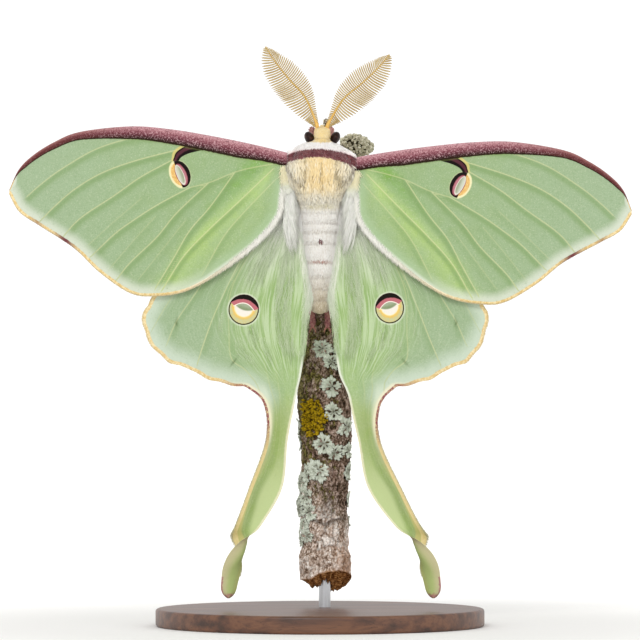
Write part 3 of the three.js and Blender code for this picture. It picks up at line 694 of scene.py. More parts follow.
rim_colour = paint.mix(speck.rise(0.35, 0.65), "D2B478", "E6D5A8")
rim_colour = rim_colour.mix(tail * 0.7, "DCCB92")
rose = paint.number("rose")
rim_colour = rim_colour.mix(rose * grain.rise(0.3, 0.55), "86444E")
colour = colour.mix(ragged.rise(0.9, 0.5) * rose * 0.8, "E6DFC0")
colour = colour.mix((ragged + rose * 0.24).rise(0.6, 0.5), rim_colour)
inner_colour = paint.mix(tail, "E8E8DC", "E9E2C4")
inner_line = (inner_edge + (speck - 0.5) * 0.3).rise(0.5, 0.2) * 0.75
colour = colour.mix(inner_line, inner_colour)
khaki = paint.mix(inner_edge.rise(0.4, 1.6), "BDB68C", "A0AE6C")
colour = colour.mix(under * tail * 0.85, khaki)
blush = paint.number("blush") * (paint.number("tip_edge") + (speck - 0.5) * 0.5).rise(0.42, 0.2)
colour = colour.mix(blush * grain.rise(0.3, 0.5) * 0.85, "A0606A")
colour = colour.mix(paint.number("fleck"), "4F6134")
# the eyespot in units of its radius: across, and up along the line that its crescents face
across, up, _ = paint.split(paint.vector("spot"))
jagged = (speck - 0.5) * 0.05
size = (across * across + up * up) ** 0.5 + jagged


def arch(across, up, top, fall):
    """How far a point is above an arch whose crown is at top and whose feet drop by fall."""
    return up - top + across * across * fall


colour = colour.mix(size.rise(1.16, 1.03) * 0.5, "DDE3CE")
disc = size.rise(1.02, 0.985)
colour = colour.mix(disc, "2A2112")
bowl = ((across - 0.02) ** 2.0 + (up - 0.13) ** 2.0) ** 0.5 + jagged
bowl_colour = bowl.ramp(
    (0.55, "E4DED2"), (0.6, "F1DDA6"), (0.66, "DFBB66"), (0.76, "D2B76C"), (0.86, "C6BD84"))
bowl_colour = bowl_colour.mix(bowl.rise(0.74, 0.82) * grain.rise(0.45, 0.65), "B9BE9A")
colour = colour.mix(size.rise(0.94, 0.9), bowl_colour)
lens_share = arch(across + 0.05, up, -0.06, -0.5).rise(-0.03, 0.08)
lens_colour = paint.mix((up + (speck - 0.5) * 0.3).rise(0.02, 0.34), "7E8C68", "9AA48A")
colour = colour.mix(lens_share * bowl.rise(0.66, 0.58), lens_colour)
pink_foot = arch(across, up, 0.46, 0.75)
pink_foot = pink_foot.maths("MINIMUM", pink_foot, up + 0.29 - abs(across) * 0.6)
white_share = (pink_foot + 0.06).rise(-0.02, 0.02) * abs(across).rise(0.74, 0.68)
colour = colour.mix(white_share * disc, "F0E6DA")
colour = colour.mix((pink_foot + jagged).rise(-0.02, 0.02) * disc, "B5686F")
black_share = (arch(across, up, 0.68, 0.47) + jagged * 2).rise(-0.03, 0.03)
colour = colour.mix(black_share * disc, "17130F")
hindwing_material = paint.finish(colour, grain + streak * silk, 0.04)

hindwing_rows = even_rows(HINDWING_GRID[0])
for name, side in SIDES.items():
    along, across = np.meshgrid(hindwing_rows, np.linspace(0, 1, HINDWING_GRID[1]), indexing="ij")
    outer, inner = outer_rim(along), inner_rim(along)
    flat = (outer + (inner - outer) * across[..., None]).reshape(-1, 2)
    ridge, shade, roof, gap, near = vein_marks(flat, HINDWING_VEINS)
    crest, crest_side = away(flat, HINDWING_VEINS[2][1], 100)
    rim_share = np.linspace(0, 1, 200)
    to_edge, _ = away(flat, outer_rim(rim_share), 200)
    to_inner, _ = away(flat, inner_rim(rim_share), 200)
    long, wide = along.ravel(), across.ravel()
    tail = smooth(long, 0.46, 0.56)
    silk = smooth(wide, 0.35, 0.75) * smooth(long, 0.5, 0.3)
    pleats = 0.045 * np.sin(wide * 34 + 2 * np.sin(long * 9)) * silk + 0.13 * roof * (1 - 0.5 * silk)
    thin = 0.25 + 0.75 * smooth(np.minimum(to_edge, to_inner), 0, 0.8)
    half = (MEMBRANE_HALF + VEIN_RISE * ridge) * thin
    pleats = pleats * smooth(np.minimum(to_edge, to_inner), 0, 1.5)
    front = hindwing_point(side, along, across, (half + pleats).reshape(along.shape))
    back = hindwing_point(side, along, across, (pleats - half).reshape(along.shape))
    points, faces, corners = closed_sheet(front, back)
    tilt = np.radians(HINDWING_SPOT_TILT)
    off = (flat - side["spot"]) / HINDWING_SPOT_SIZE
    turned = [off @ (np.cos(tilt), np.sin(tilt)), off @ (-np.sin(tilt), np.cos(tilt)), off[:, 0] * 0]
    spot = np.stack(turned, -1)
    fleck = sum(bell((flat[:, 0] - x) / w, 1) * bell((flat[:, 1] - z + 1.2 * (flat[:, 0] - x)) / h, 1)
                for (x, z), (w, h) in FLECKS)
    lane = np.stack([wide * 68, long * 9, long * 0], -1)
    before, beyond = crest_side > 0, crest_side < 0
    wing = build(
        f"hindwing_skin_{name}", points, faces, hindwing_material,
        numbers=both_faces({
            "gap": gap,
            "vein": near * (1 - 0.6 * silk) * (1 - 0.65 * tail),
            "edge": to_edge,
            "inner_edge": to_inner - TUCK * smooth(flat[:, 1], 50, 60),
            "tip_edge": np.where(long > 0.9, np.minimum(to_inner, 12 * (1 - long)), 9),
            "rose": tail_rose(long),
            "blush": smooth(long, 0.84, 0.9),
            "outward": flat[:, 0] + 16,
            "lush": smooth(wide, 0.3, 0.8) * 0.4 * smooth(long, 0.02, 0.2),
            "deep": bell(crest - 0.5 * beyond, 0.5 + 0.5 * beyond) * tail * smooth(long, 0.84, 0.76) * 0.7,
            # painted shade beside the veins, and a band of painted shadow near the root, under the forewing's
            # edge
            "shade": 0.6 * shade + 0.5 * bell(long - 0.13, 0.07) * smooth(wide, 0.75, 0.4),
            "silk": silk,
            "white": smooth(long, 0.2, 0.02) * 0.9 * smooth(wide, 0.3, 0.7),
            "pale": 0.7 * before * smooth(long, 0.4, 0.5) * smooth(long, 0.64, 0.58) * smooth(crest, 0.3, 1),
            "mint": beyond * smooth(crest, 0.5, 1.6) * smooth(long, 0.6, 0.68),
            "straw": before * smooth(crest, 0.1, 0.6) * smooth(long, 0.6, 0.69) * 0.85,
            "tail": tail,
            "fleck": np.clip(fleck, 0, 1) * 0.8,
        }) | {"under": np.repeat([0.0, 1.0], len(flat))},
        vectors=both_faces({"spot": spot, "lane": lane}),
        corners=corners,
    )
    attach(wing, "root")
    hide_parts(f"hindwing_{name}", f"tail_{name}")

# ---------------------------------------------------------------- body
# Head, thorax and abdomen are one soft body under a deep coat. Its skin is made in one piece:
# oval rings from the crown to the tail end, swollen at the tegulae over the wing roots, dented
# at the eyes and creased between the rings of the abdomen.

# height, half width, half depth, shift towards the twig, shift sideways
BODY_RINGS = [
    (84.6, 0.12, 0.12, -0.5, 0.38), (84.5, 0.8, 0.8, -0.5, 0.38), (84.2, 1.18, 1.4, -0.6, 0.38),
    (83.5, 1.3, 1.75, -0.6, 0.38), (82.7, 1.34, 1.8, -0.5, 0.36), (82.3, 1.9, 1.85, -0.3, 0.2),
    (82.05, 2.6, 2.0, -0.2, 0.05), (81.7, 3.35, 2.3, -0.1, -0.1), (81.05, 4.4, 2.75, 0, -0.06),
    (80.4, 5.2, 3.05, 0, 0), (79.8, 5.42, 3.3, 0, 0.05), (79, 5.25, 3.45, 0, 0.1), (77.2, 4.7, 3.6, 0, 0.1),
    (74.5, 4.3, 3.6, 0, 0), (72, 3.65, 3.2, 0, 0), (70, 3.35, 3.0, 0.1, 0), (67, 3.12, 2.95, 0.2, 0),
    (64, 2.75, 2.75, 0.3, 0), (60, 2.2, 2.45, 0.4, 0), (57.2, 1.8, 2.1, 0.5, 0), (55, 1.66, 1.75, 0.6, 0),
    (54, 1.4, 1.4, 0.65, 0), (53.4, 0.95, 0.95, 0.7, 0), (53.1, 0.1, 0.1, 0.7, 0),
]
BODY_TOP, BODY_END = BODY_RINGS[0][0], BODY_RINGS[-1][0]
BODY_GRID = (260, 160)
EYE_GRID = (40, 56)
SEGMENTS = [68.8, 67.2, 65.3, 62.1, 59.6, 57.6, 55.7]
TEGULA = {"height": 77.1, "angle": 52, "high": 2.5, "wide": 17, "swell": 1.15}
EYE = {"spread": 2.18, "shift": 0.38, "back": -0.5, "height": 82.95, "radii": (0.8, 1.27, 1.1), "lean": 27}


def eye_centre(sign):
    """The middle of the eye on the side that the sign says."""
    return np.array([EYE["shift"] + sign * EYE["spread"], BODY_Y + EYE["back"], EYE["height"]])


def back_angle(angle):
    """Degrees round the body from the middle of the moth's back."""
    return (np.degrees(angle) + 270) % 360 - 180


def body_base(angle, height):
    """A point of the body's skin: an oval ring's point at an angle, with the rings' sizes running
    smoothly over the height, plus a low swelling at each tegula and a dent at each eye."""
    run = curve(BODY_RINGS, np.linspace(0, 1, 400))[::-1]
    half_width, half_depth, back, sideways = (np.interp(height, run[:, 0], run[:, k]) for k in range(1, 5))
    aside = (np.abs(back_angle(angle)) - TEGULA["angle"]) / TEGULA["wide"]
    tegula = TEGULA["swell"] * np.exp(-(aside**4) - ((height - TEGULA["height"]) / TEGULA["high"]) ** 4)
    crease = sum(0.12 * bell(height - z, 0.22) for z in SEGMENTS)
    x, y = np.cos(angle), np.sin(angle)
    point = np.stack([sideways + (half_width + tegula - crease) * x,
                      BODY_Y + back + (half_depth + tegula - crease) * y, height + 0 * angle], -1)
    for sign in (-1, 1):
        near = bell(np.linalg.norm((point - eye_centre(sign)) / (0.9, 1.3, 1.1), axis=-1), 1)
        point[..., 0] = point[..., 0] - sign * 0.2 * near
    return point


def body_point(angle, height, lift=0.0):
    """A point at a height of lift over the body's skin, along the skin's own normal."""
    step = 0.02
    point = body_base(angle, height)
    round_it = body_base(angle + step, height) - body_base(angle - step, height)
    up_it = body_base(angle, height + step) - body_base(angle, height - step)
    normal = np.cross(round_it, up_it)
    normal = normal / np.maximum(np.linalg.norm(normal, axis=-1, keepdims=True), 1e-9)
    return point + normal * np.asarray(lift)[..., None]


def round_map(along, around):
    """The map of a tube: its length runs inwards over a disc, its girth round it."""
    angle = 2 * np.pi * around
    return 0.5 + (0.47 - 0.44 * along)[:, None] * np.stack([np.cos(angle), np.sin(angle)], -1)


def closed_tube(rings):
    """Points and faces of a closed skin over rings of points, (rings, sides, 3), with a fan of
    triangles over both ends, and its round map, where the ends have a place of their own."""
    count, sides = rings.shape[:2]
    index = np.arange(count * sides).reshape(count, sides)
    beside = np.roll(index, -1, axis=1)
    quads = np.stack([index[:-1], beside[:-1], beside[1:], index[1:]], -1).reshape(-1, 4)
    ends = np.array([[count * sides], [count * sides + 1]])
    fans = np.concatenate([np.stack([beside[0], index[0], ends[0] + 0 * index[0]], -1),
                           np.stack([index[-1], beside[-1], ends[1] + 0 * index[0]], -1)])
    points = np.concatenate([rings.reshape(-1, 3), rings[[0, -1]].mean(1)])
    spots = round_map(np.repeat(np.linspace(0, 1, count), sides), np.tile(np.arange(sides) / sides, count))
    return points, [quads, fans], np.concatenate([spots, [(0.985, 0.5), (0.5, 0.5)]])


def coat_colour(paint):
    """The coat's markings and its painted shade, on skin and hair alike, by the place where the hair is
    rooted.
    """
    root = paint.vector("root")
    x, y, z = paint.split(root)
    cloud = paint.noise(root, 1.6, 3, 0.6)
    back = y.rise(BODY_Y + 0.5, BODY_Y - 1.5)
    colour = paint.mix(cloud * 0.6, "FCFAF6", "EBE6DC")
    pale = (z + (cloud - 0.5) * 2).rise(70.4, 71.8) * back
    colour = colour.mix(pale * 0.8, "F6EFDA")
    yellow = abs(x - 0.1).rise(5.6, 2.6) * (z + (cloud - 0.5) * 2.5).rise(73, 76) * back
    colour = colour.mix(yellow * 0.85, "FCEABE")
    warm = abs(x - 0.1).rise(3.4, 0.8) * (z + (cloud - 0.5) * 2).rise(73.8, 76.5) * back
    colour = colour.mix(warm * 0.7, "FCDFA0")
    olive = abs(z - 72).rise(1.4, 0.2) * abs(x).rise(3.4, 1.2) * back * cloud.rise(0.3, 0.55)
    colour = colour.mix(olive * 0.55, "CFC69C")
    # painted shade on the thorax's sides, in the gaps between body and wings
    flank_shade = y.rise(BODY_Y - 1.5, BODY_Y - 0.3) * z.rise(69, 72) * z.rise(78.4, 77.6)
    colour = colour.mix(flank_shade * 0.5, "857353")
    colour = colour.mix(z.rise(62, 54) * 0.9, "C2B28E")
    # painted shade along the tegulae's edges, beside and behind, where they overhang the thorax
    tegula_edge_shade = abs(abs(x - 0.1) - 2.7 + (z - 79.1) * 0.25).rise(0.32, 0.08)
    tegula_edge_shade = tegula_edge_shade * z.rise(74.8, 76) * z.rise(80, 79.4)
    colour = colour.mix(tegula_edge_shade * back * 0.5, "988558")
    aside = abs(x - 0.1) - 3.4
    hem_shade = abs(z - 76.2 - aside * 0.2 - aside * aside * 0.6).rise(0.75, 0.25) * aside.rise(-0.1, 0.3)
    colour = colour.mix(hem_shade * back * 0.55, "8A7A5A")
    # painted shade in the parting of the thorax's hair
    parting_shade = abs(x - 0.25).rise(0.18, 0.04) * z.rise(74, 75.2) * z.rise(79.6, 79)
    colour = colour.mix(parting_shade * back * 0.5, "A8884C")
    line = abs(z - 62.2).rise(0.26, 0.08) * abs(x).rise(2.2, 0.6) * back
    colour = colour.mix(line * 0.8, "B4705C")
    spot = (((x - 0.1) ** 2.0 + (z - 65.6) ** 2.0) ** 0.5).rise(0.5, 0.3) * back
    colour = colour.mix(spot, "6A3038")
    # painted shade in the creases between the abdomen's rings
    for height in SEGMENTS:
        colour = colour.mix(abs(z - height).rise(0.25, 0.05) * 0.35, "A89A88")
    # the collar: white in front, a maroon band behind it that arches over the shoulders
    bow = x * x * 0.041 + x * 0.033
    lower_bow = x * x * 0.043 + x * 0.054
    wobble = (cloud - 0.5) * 0.4
    white = (z + bow).rise(80.95, 81.15)
    colour = colour.mix(white, "FFFCFA")
    blush = (z + bow).rise(81.6, 81.0) * white * (0.25 + abs(x).rise(2, 4.5) * 0.4)
    colour = colour.mix(blush, "E6B8BC")
    band = (z + lower_bow + wobble).rise(79.7, 79.85) * (z + bow + wobble).rise(81.2, 81.05)
    shoulder = y.rise(BODY_Y + 3.2, BODY_Y + 2.0)
    band_colour = paint.mix(cloud.rise(0.3, 0.7), "5E2830", "8E5558")
    colour = colour.mix(band * shoulder, band_colour)
    cap = (z + wobble * 0.5).rise(82.2, 82.4)
    colour = colour.mix(cap, "F8E0A2")
    colour = colour.mix(cap * y.rise(BODY_Y - 0.2, BODY_Y + 0.6), "B58E80")
    return colour, band * shoulder


paint = Paint("body_skin", Roughness=0.9, Specular_IOR_Level=0.15)
colour, _ = coat_colour(paint)
fine = paint.noise(paint.place().stretch((6, 6, 1.2)), 1.5, 2, 0.6)
colour = colour.mix(fine.rise(0.7, 0.3) * 0.25, "9C8A6C")
skin_material = paint.finish(colour, fine, 0.08)

heights = BODY_TOP + (BODY_END - BODY_TOP) * np.linspace(0, 1, BODY_GRID[0])
angles, heights = np.meshgrid(np.linspace(0, 2 * np.pi, BODY_GRID[1], endpoint=False), heights)
points, faces, corners = closed_tube(body_point(angles, heights))
body_skin = build("body_skin", points, faces, skin_material, vectors={"root": points}, corners=corners)
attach(body_skin, "root")
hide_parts("head", "collar", "thorax", "abdomen", "tegula_left", "tegula_right")

# ---------------------------------------------------------------- fur
# The coat is hair-like scales in locks: a short brush forward over the crown, a dense white and
# maroon ruff, long cream hair down the thorax and over the tegulae, parted in the middle, and
# short white fur in overlapping rings down the abdomen. Each lock grows from the skin.

GOLDEN = (5**0.5 - 1) / 2  # turning by this share of a circle spreads the roots evenly
LOCK_TAPER = np.array([0.8, 1.0, 0.85])


def locks(name, spine, width, flat, upwards, patch, material, numbers=None, roots=None):
    """One mesh of many closed, three-sided, tapering locks. spine is (locks, rings, 3) from root to
    tip, width is the half width at each ring but the last, flat is the thickness as a share of it,
    upwards the direction out of the coat, one for all or one each, and patch the root's place on the
    skin's map."""
    count, rings = spine.shape[:2]
    along = np.gradient(spine, axis=1)
    along = along / np.maximum(np.linalg.norm(along, axis=-1, keepdims=True), 1e-9)
    side = np.cross(along, np.reshape(upwards, (-1, 1, 3)))
    side = side / np.maximum(np.linalg.norm(side, axis=-1, keepdims=True), 1e-9)
    up = np.cross(side, along)
    turn = np.radians([30, 150, 270])
    arms = width[:, :, None, None] * (side[:, :-1, None] * np.cos(turn)[:, None]
                                      + flat * up[:, :-1, None] * np.sin(turn)[:, None])
    hoops = (spine[:, :-1, None] + arms).reshape(count, -1, 3)
    points = np.concatenate([hoops, spine[:, -1:]], 1)
    each = points.shape[1]
    this = np.arange(3 * (rings - 1))
    beside = this - this % 3 + (this + 1) % 3
    quads = np.stack([this, beside, beside + 3, this + 3], -1)[:-3]
    point = np.stack([this, beside, 0 * this + each - 1], -1)[-3:]
    start = np.arange(count)[:, None, None] * each
    faces = [(quads + start).reshape(-1, 4), (np.vstack([[0, 2, 1], point]) + start).reshape(-1, 3)]
    share = np.append(np.repeat(np.arange(rings - 1) / (rings - 1), 3), 1.0)
    shrink = 0.0015 * (1 - share)
    around = np.append(np.tile(turn, rings - 1), 0.0)
    offset = np.stack([shrink * np.cos(around), shrink * np.sin(around)], -1)
    corners = (patch[:, None, :] + offset).reshape(-1, 2)
    carried = {key: np.repeat(values, each, axis=0) for key, values in (numbers or {}).items()}
    carried["tip"] = np.tile(share, count)
    rooted = np.repeat(spine[:, 0] if roots is None else roots, each, axis=0)
    return build(name, points.reshape(-1, 3), faces, material, carried, {"root": rooted}, corners)


def shaped(value, angle, height):
    """A number that is the same all over the coat, or a function of the root's angle and height."""
    return value(angle, height) if callable(value) else np.full(len(height), value)


def coat(name, count, low, high, length, width, rise, seed, keep=None, flow=-1.0, part=0.0, spread=0.12,
         clump=0.0):
    """Locks over the body between two heights: roots spread evenly by the skin's girth, each lock
    running along the skin down or up the body, rising to rise and settling back at its tip.
    keep picks roots by angle, height and a random number, part turns the locks away from the middle
    line, and clump draws neighbouring locks together."""
    draw = np.random.default_rng(seed)
    fine = np.linspace(low, high, 200)
    girth = body_base(0 * fine, fine) - body_base(0 * fine + np.pi, fine)
    girth = np.linalg.norm(girth[:, :2], axis=1)
    area = np.concatenate([[0], np.cumsum((girth[1:] + girth[:-1]) / 2)])
    share = (np.arange(count) + 0.5) / count
    height = np.interp(share * area[-1], area, fine)
    angle = 2 * np.pi * (np.arange(count) * GOLDEN % 1) + draw.normal(0, 0.02, count)
    if keep is not None:
        kept = keep(angle, height, draw.random(count))
        height, angle = height[kept], angle[kept]
    count = len(height)
    reach = shaped(length, angle, height) * draw.uniform(0.75, 1.25, count)
    fat = width * draw.uniform(0.7, 1.3, count)
    wave = angle * 21 + 0.9 * np.sin(height * 0.8)
    parted = part * np.sign(np.cos(angle)) * bell(np.cos(angle), 0.35) * (np.sin(angle) < 0)
    sway = draw.normal(0, spread, count) + clump * np.cos(wave) + parted
    share = np.linspace(0, 1, len(LOCK_TAPER) + 1)
    radius = np.interp(height, fine, girth / 2)
    turn = angle[:, None] + (sway * reach / np.maximum(radius, 0.6))[:, None] * share
    level = height[:, None] + flow * reach[:, None] * share * 0.97
    top = shaped(rise, angle, height) * draw.uniform(0.75, 1.25, count) * (1 + clump * np.sin(wave))
    arc = 1 - (1 - np.minimum(share / 0.6, 1)) ** 2 - 0.35 * np.maximum(share - 0.6, 0) / 0.4
    on_body = np.clip(level, BODY_END + 0.02, BODY_TOP - 0.02)
    spine = body_point(turn, on_body, top[:, None] * arc - 0.05)
    spine[..., 2] += level - on_body
    upwards = body_point(angle, height, 1.0) - body_point(angle, height, 0.0)
    patch = round_map((height - BODY_TOP) / (BODY_END - BODY_TOP), angle / (2 * np.pi))
    # each lock's tint is random and follows its clump: raised locks get a higher tint and come out lighter,
    # sunken ones darker, as painted light and shade
    return locks(name, spine, fat[:, None] * LOCK_TAPER / 2, 0.55, upwards, patch, fur_material,
                 {"tint": np.clip(draw.random(count) + 1.2 * clump * np.sin(wave), 0, 1)})


paint = Paint("fur", Roughness=0.9, Specular_IOR_Level=0.2, Sheen_Weight=0.4, Sheen_Roughness=0.4)
colour, band = coat_colour(paint)
tint = paint.number("tint")
tip = paint.number("tip")
colour = colour.mix(tint.rise(0.7, 1.0) * (0.4 - band * 0.34), "FFFDF6")
# painted shade: a darker copy of the coat's colour, laid on locks with a low tint and towards each lock's
# root, where the locks above shade it
painted_shade = colour.stretch((0.72, 0.64, 0.52))
colour = colour.mix(tint.rise(0.4, 0.0) * 0.3, painted_shade)
colour = colour.mix(tip.rise(0.35, 0.0) * 0.2, painted_shade)
fur_material = paint.finish(colour)


def behind_band(angle, height):
    """How far above the rear edge of the collar's maroon band a root lies, in millimetres."""
    x = 5.2 * np.cos(angle)
    return height + x * x * 0.043 + x * 0.054 - 79.45


thorax_fur = coat(
    "fur_thorax", 12300, 71.9, 79.9, width=0.15, seed=11, part=0.1, spread=0.15, clump=0.07,
    length=lambda a, z: (1.2 + 0.6 * smooth(z, 79, 76)) * (1 - 0.3 * smooth(z, 74, 72)),
    rise=lambda a, z: 0.28 + 0.26 * smooth(z, 79.7, 77) - 0.36 * smooth(z, 75, 72),
    keep=lambda a, z, r: behind_band(a, z) < 0.2)
tegula_fur = coat(
    "fur_tegulae", 8400, 74.9, 79.3, length=1.7, width=0.15, rise=0.75, seed=12, spread=0.13, clump=0.07,
    keep=lambda a, z, r: (np.abs(np.abs(back_angle(a)) - TEGULA["angle"] + 3 * np.maximum(77.2 - z, 0))
                          < TEGULA["wide"] - 4 * np.maximum(77.6 - z, 0)) & (behind_band(a, z) < 0))
collar_fur = coat(
    "fur_collar", 12300, 77.7, 82.8, width=0.13, seed=13, spread=0.14, clump=0.05,
    length=lambda a, z: 0.42 + 0.4 * np.cos(a) ** 4 * smooth(z, 81, 79.6),
    rise=lambda a, z: 0.15 + 0.2 * np.cos(a) ** 4 * smooth(z, 81.5, 80.3),
    keep=lambda a, z, r: behind_band(a, z) > -0.1)
head_fur = coat("fur_head", 4700, 82.6, 84.45, length=0.6, width=0.1, rise=0.2, seed=14, flow=1.0)


def ring_rise(angle, height):
    """Each ring of the abdomen's fur stands a little higher towards its rear edge."""
    edges = np.array([72.5, 70.6, *SEGMENTS, 53.2])
    k = np.clip(np.searchsorted(-edges, -height) - 1, 0, len(edges) - 2)
    return 0.08 + 0.15 * (edges[k] - height) / (edges[k] - edges[k + 1])


abdomen_fur = coat(
    "fur_abdomen", 12000, 53.8, 72.8, width=0.13, rise=ring_rise, seed=15, spread=0.1,
    length=lambda a, z: 0.7 - 0.25 * smooth(z, 55.5, 54))

# the ruff's two ends, whose locks lie over the roots of the wings' ribs
for number, (name, end) in enumerate([("left", -5.7), ("right", 6.35)]):
    draw = np.random.default_rng(16 + number)
    count = 420
    start = np.sign(end) * 3.7 + (end - np.sign(end) * 4.5) * draw.random(count)
    share = np.linspace(0, 1, len(LOCK_TAPER) + 1)
    x = start[:, None] + np.sign(end) * 0.8 * share * draw.uniform(0.8, 1.1, (count, 1))
    band_low, white_top = 79.55 - x * x * 0.043 - x * 0.054, 81.75 - x * x * 0.041 - x * 0.033
    z = band_low + (white_top - band_low) * draw.random((count, 1))
    front = BODY_Y - 1.75 - 0.7 * smooth(np.abs(x), 3.9, 4.8) + 0.3 * smooth(z, 80, 81)
    y = front - 0.06 - 0.16 * np.sin(np.pi * (0.05 + 0.85 * share)) * draw.uniform(0.4, 1, (count, 1))
    spine = np.stack([x, y, z], -1)
    ruff = locks(
        f"fur_ruff_{name}", spine, 0.065 * np.array([[0.8, 1, 0.6]]), 0.55, OUT_OF_BACK,
        np.stack([0.5 + 0.01 * start, 0.9 + 0.01 * (z[:, 0] - 80)], -1), fur_material,
        {"tint": draw.random(count)}, roots=spine[:, 2])
    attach(ruff, "root")
for piece, slot in [(thorax_fur, "fur_cream"), (tegula_fur, "fur_cream"), (collar_fur, "fur_white"),
                    (head_fur, "fur_cream"), (abdomen_fur, "fur_white")]:
    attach(piece, "root")

# ---------------------------------------------------------------- eyes
# Two large, dark compound eyes, leaning back along the head and half sunk in its fur. Each is a smooth oval
# of fine facets with a soft violet sheen, whose lighter blob is a painted highlight in its colour.

paint = Paint("eye_lens", Roughness=0.35, Specular_IOR_Level=0.16)
where = paint.place()
facets = paint.cells(where, 9.0)
# painted highlight: a soft lighter blob in the eye's colour
painted_sheen = paint.noise(where, 0.9, 1)
colour = paint.mix(facets.rise(0.1, 0.6), "30140E", "180806")
colour = colour.mix(painted_sheen.rise(0.5, 0.72) * 0.5, "5A3A2C")
eye_material = paint.finish(colour, facets, -0.02)


def ball(rings, sides):
    """Rings of points over a ball of radius 1: circles from pole to pole."""
    down = np.linspace(0, np.pi, rings + 2)[1:-1]
    around, down = np.meshgrid(np.linspace(0, 2 * np.pi, sides, endpoint=False), down)
    return np.stack([np.sin(down) * np.cos(around), np.sin(down) * np.sin(around), np.cos(down)], -1)


def leant(points, lean):
    """Points turned about the Y axis, from Z towards X, by a lean in degrees."""
    turn = np.radians(lean)
    x, y, z = np.moveaxis(points, -1, 0)
    return np.stack([x * np.cos(turn) + z * np.sin(turn), y, z * np.cos(turn) - x * np.sin(turn)], -1)


for name, side in SIDES.items():
    sign = side["sign"]
    points, faces, corners = closed_tube(
        leant(ball(*EYE_GRID) * EYE["radii"], sign * EYE["lean"]) + eye_centre(sign))
    eye = build(f"eye_ball_{name}", points, faces, eye_material, corners=corners)
    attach(eye, "root")
    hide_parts(f"eye_{name}")

# ---------------------------------------------------------------- wing hair
# Long silky hair streams from the hindwing's root over the half beside the body. The forewing's
# inner edge has a white fringe, and a short fringe of scales runs along every outer edge.

paint = Paint("wing_hair", Roughness=0.9, Specular_IOR_Level=0.2, Sheen_Weight=0.4, Sheen_Roughness=0.4)
tint = paint.number("tint")
colour = paint.mix(tint, "9DB77C", "CDDAB6")
colour = colour.layers(
    (paint.number("cream"), "FBF1CC"),
    (paint.number("white"), "FCFAF6"),
    (paint.number("gold") * 0.9, "E2CB9A"),
    (paint.number("rose") * 0.9, "8A4A50"))
hair_material = paint.finish(colour)

HINDWING_LENGTH = 84.0  # mm along the middle of wing and tail
FRINGE_LOCKS = 1500  # along each edge


def hair_locks(name, spine, widths, flat, patch, **colours):
    """Locks of wing hair on the moth's back, with the half widths of each one's rings and 0 for each
    share of colour that isn't given."""
    blank = dict.fromkeys(["cream", "white", "gold", "rose"], np.zeros(len(spine)))
    return locks(name, spine, np.atleast_2d(widths), flat, OUT_OF_BACK, patch, hair_material, blank | colours)


def hindwing_step(along, distance):
    """The share along the hindwing that lies a distance in mm beyond another share."""
    even = np.linspace(0, 1, len(hindwing_rows))
    here = np.interp(along, hindwing_rows, even)
    return np.interp(here + distance / HINDWING_LENGTH, even, hindwing_rows)


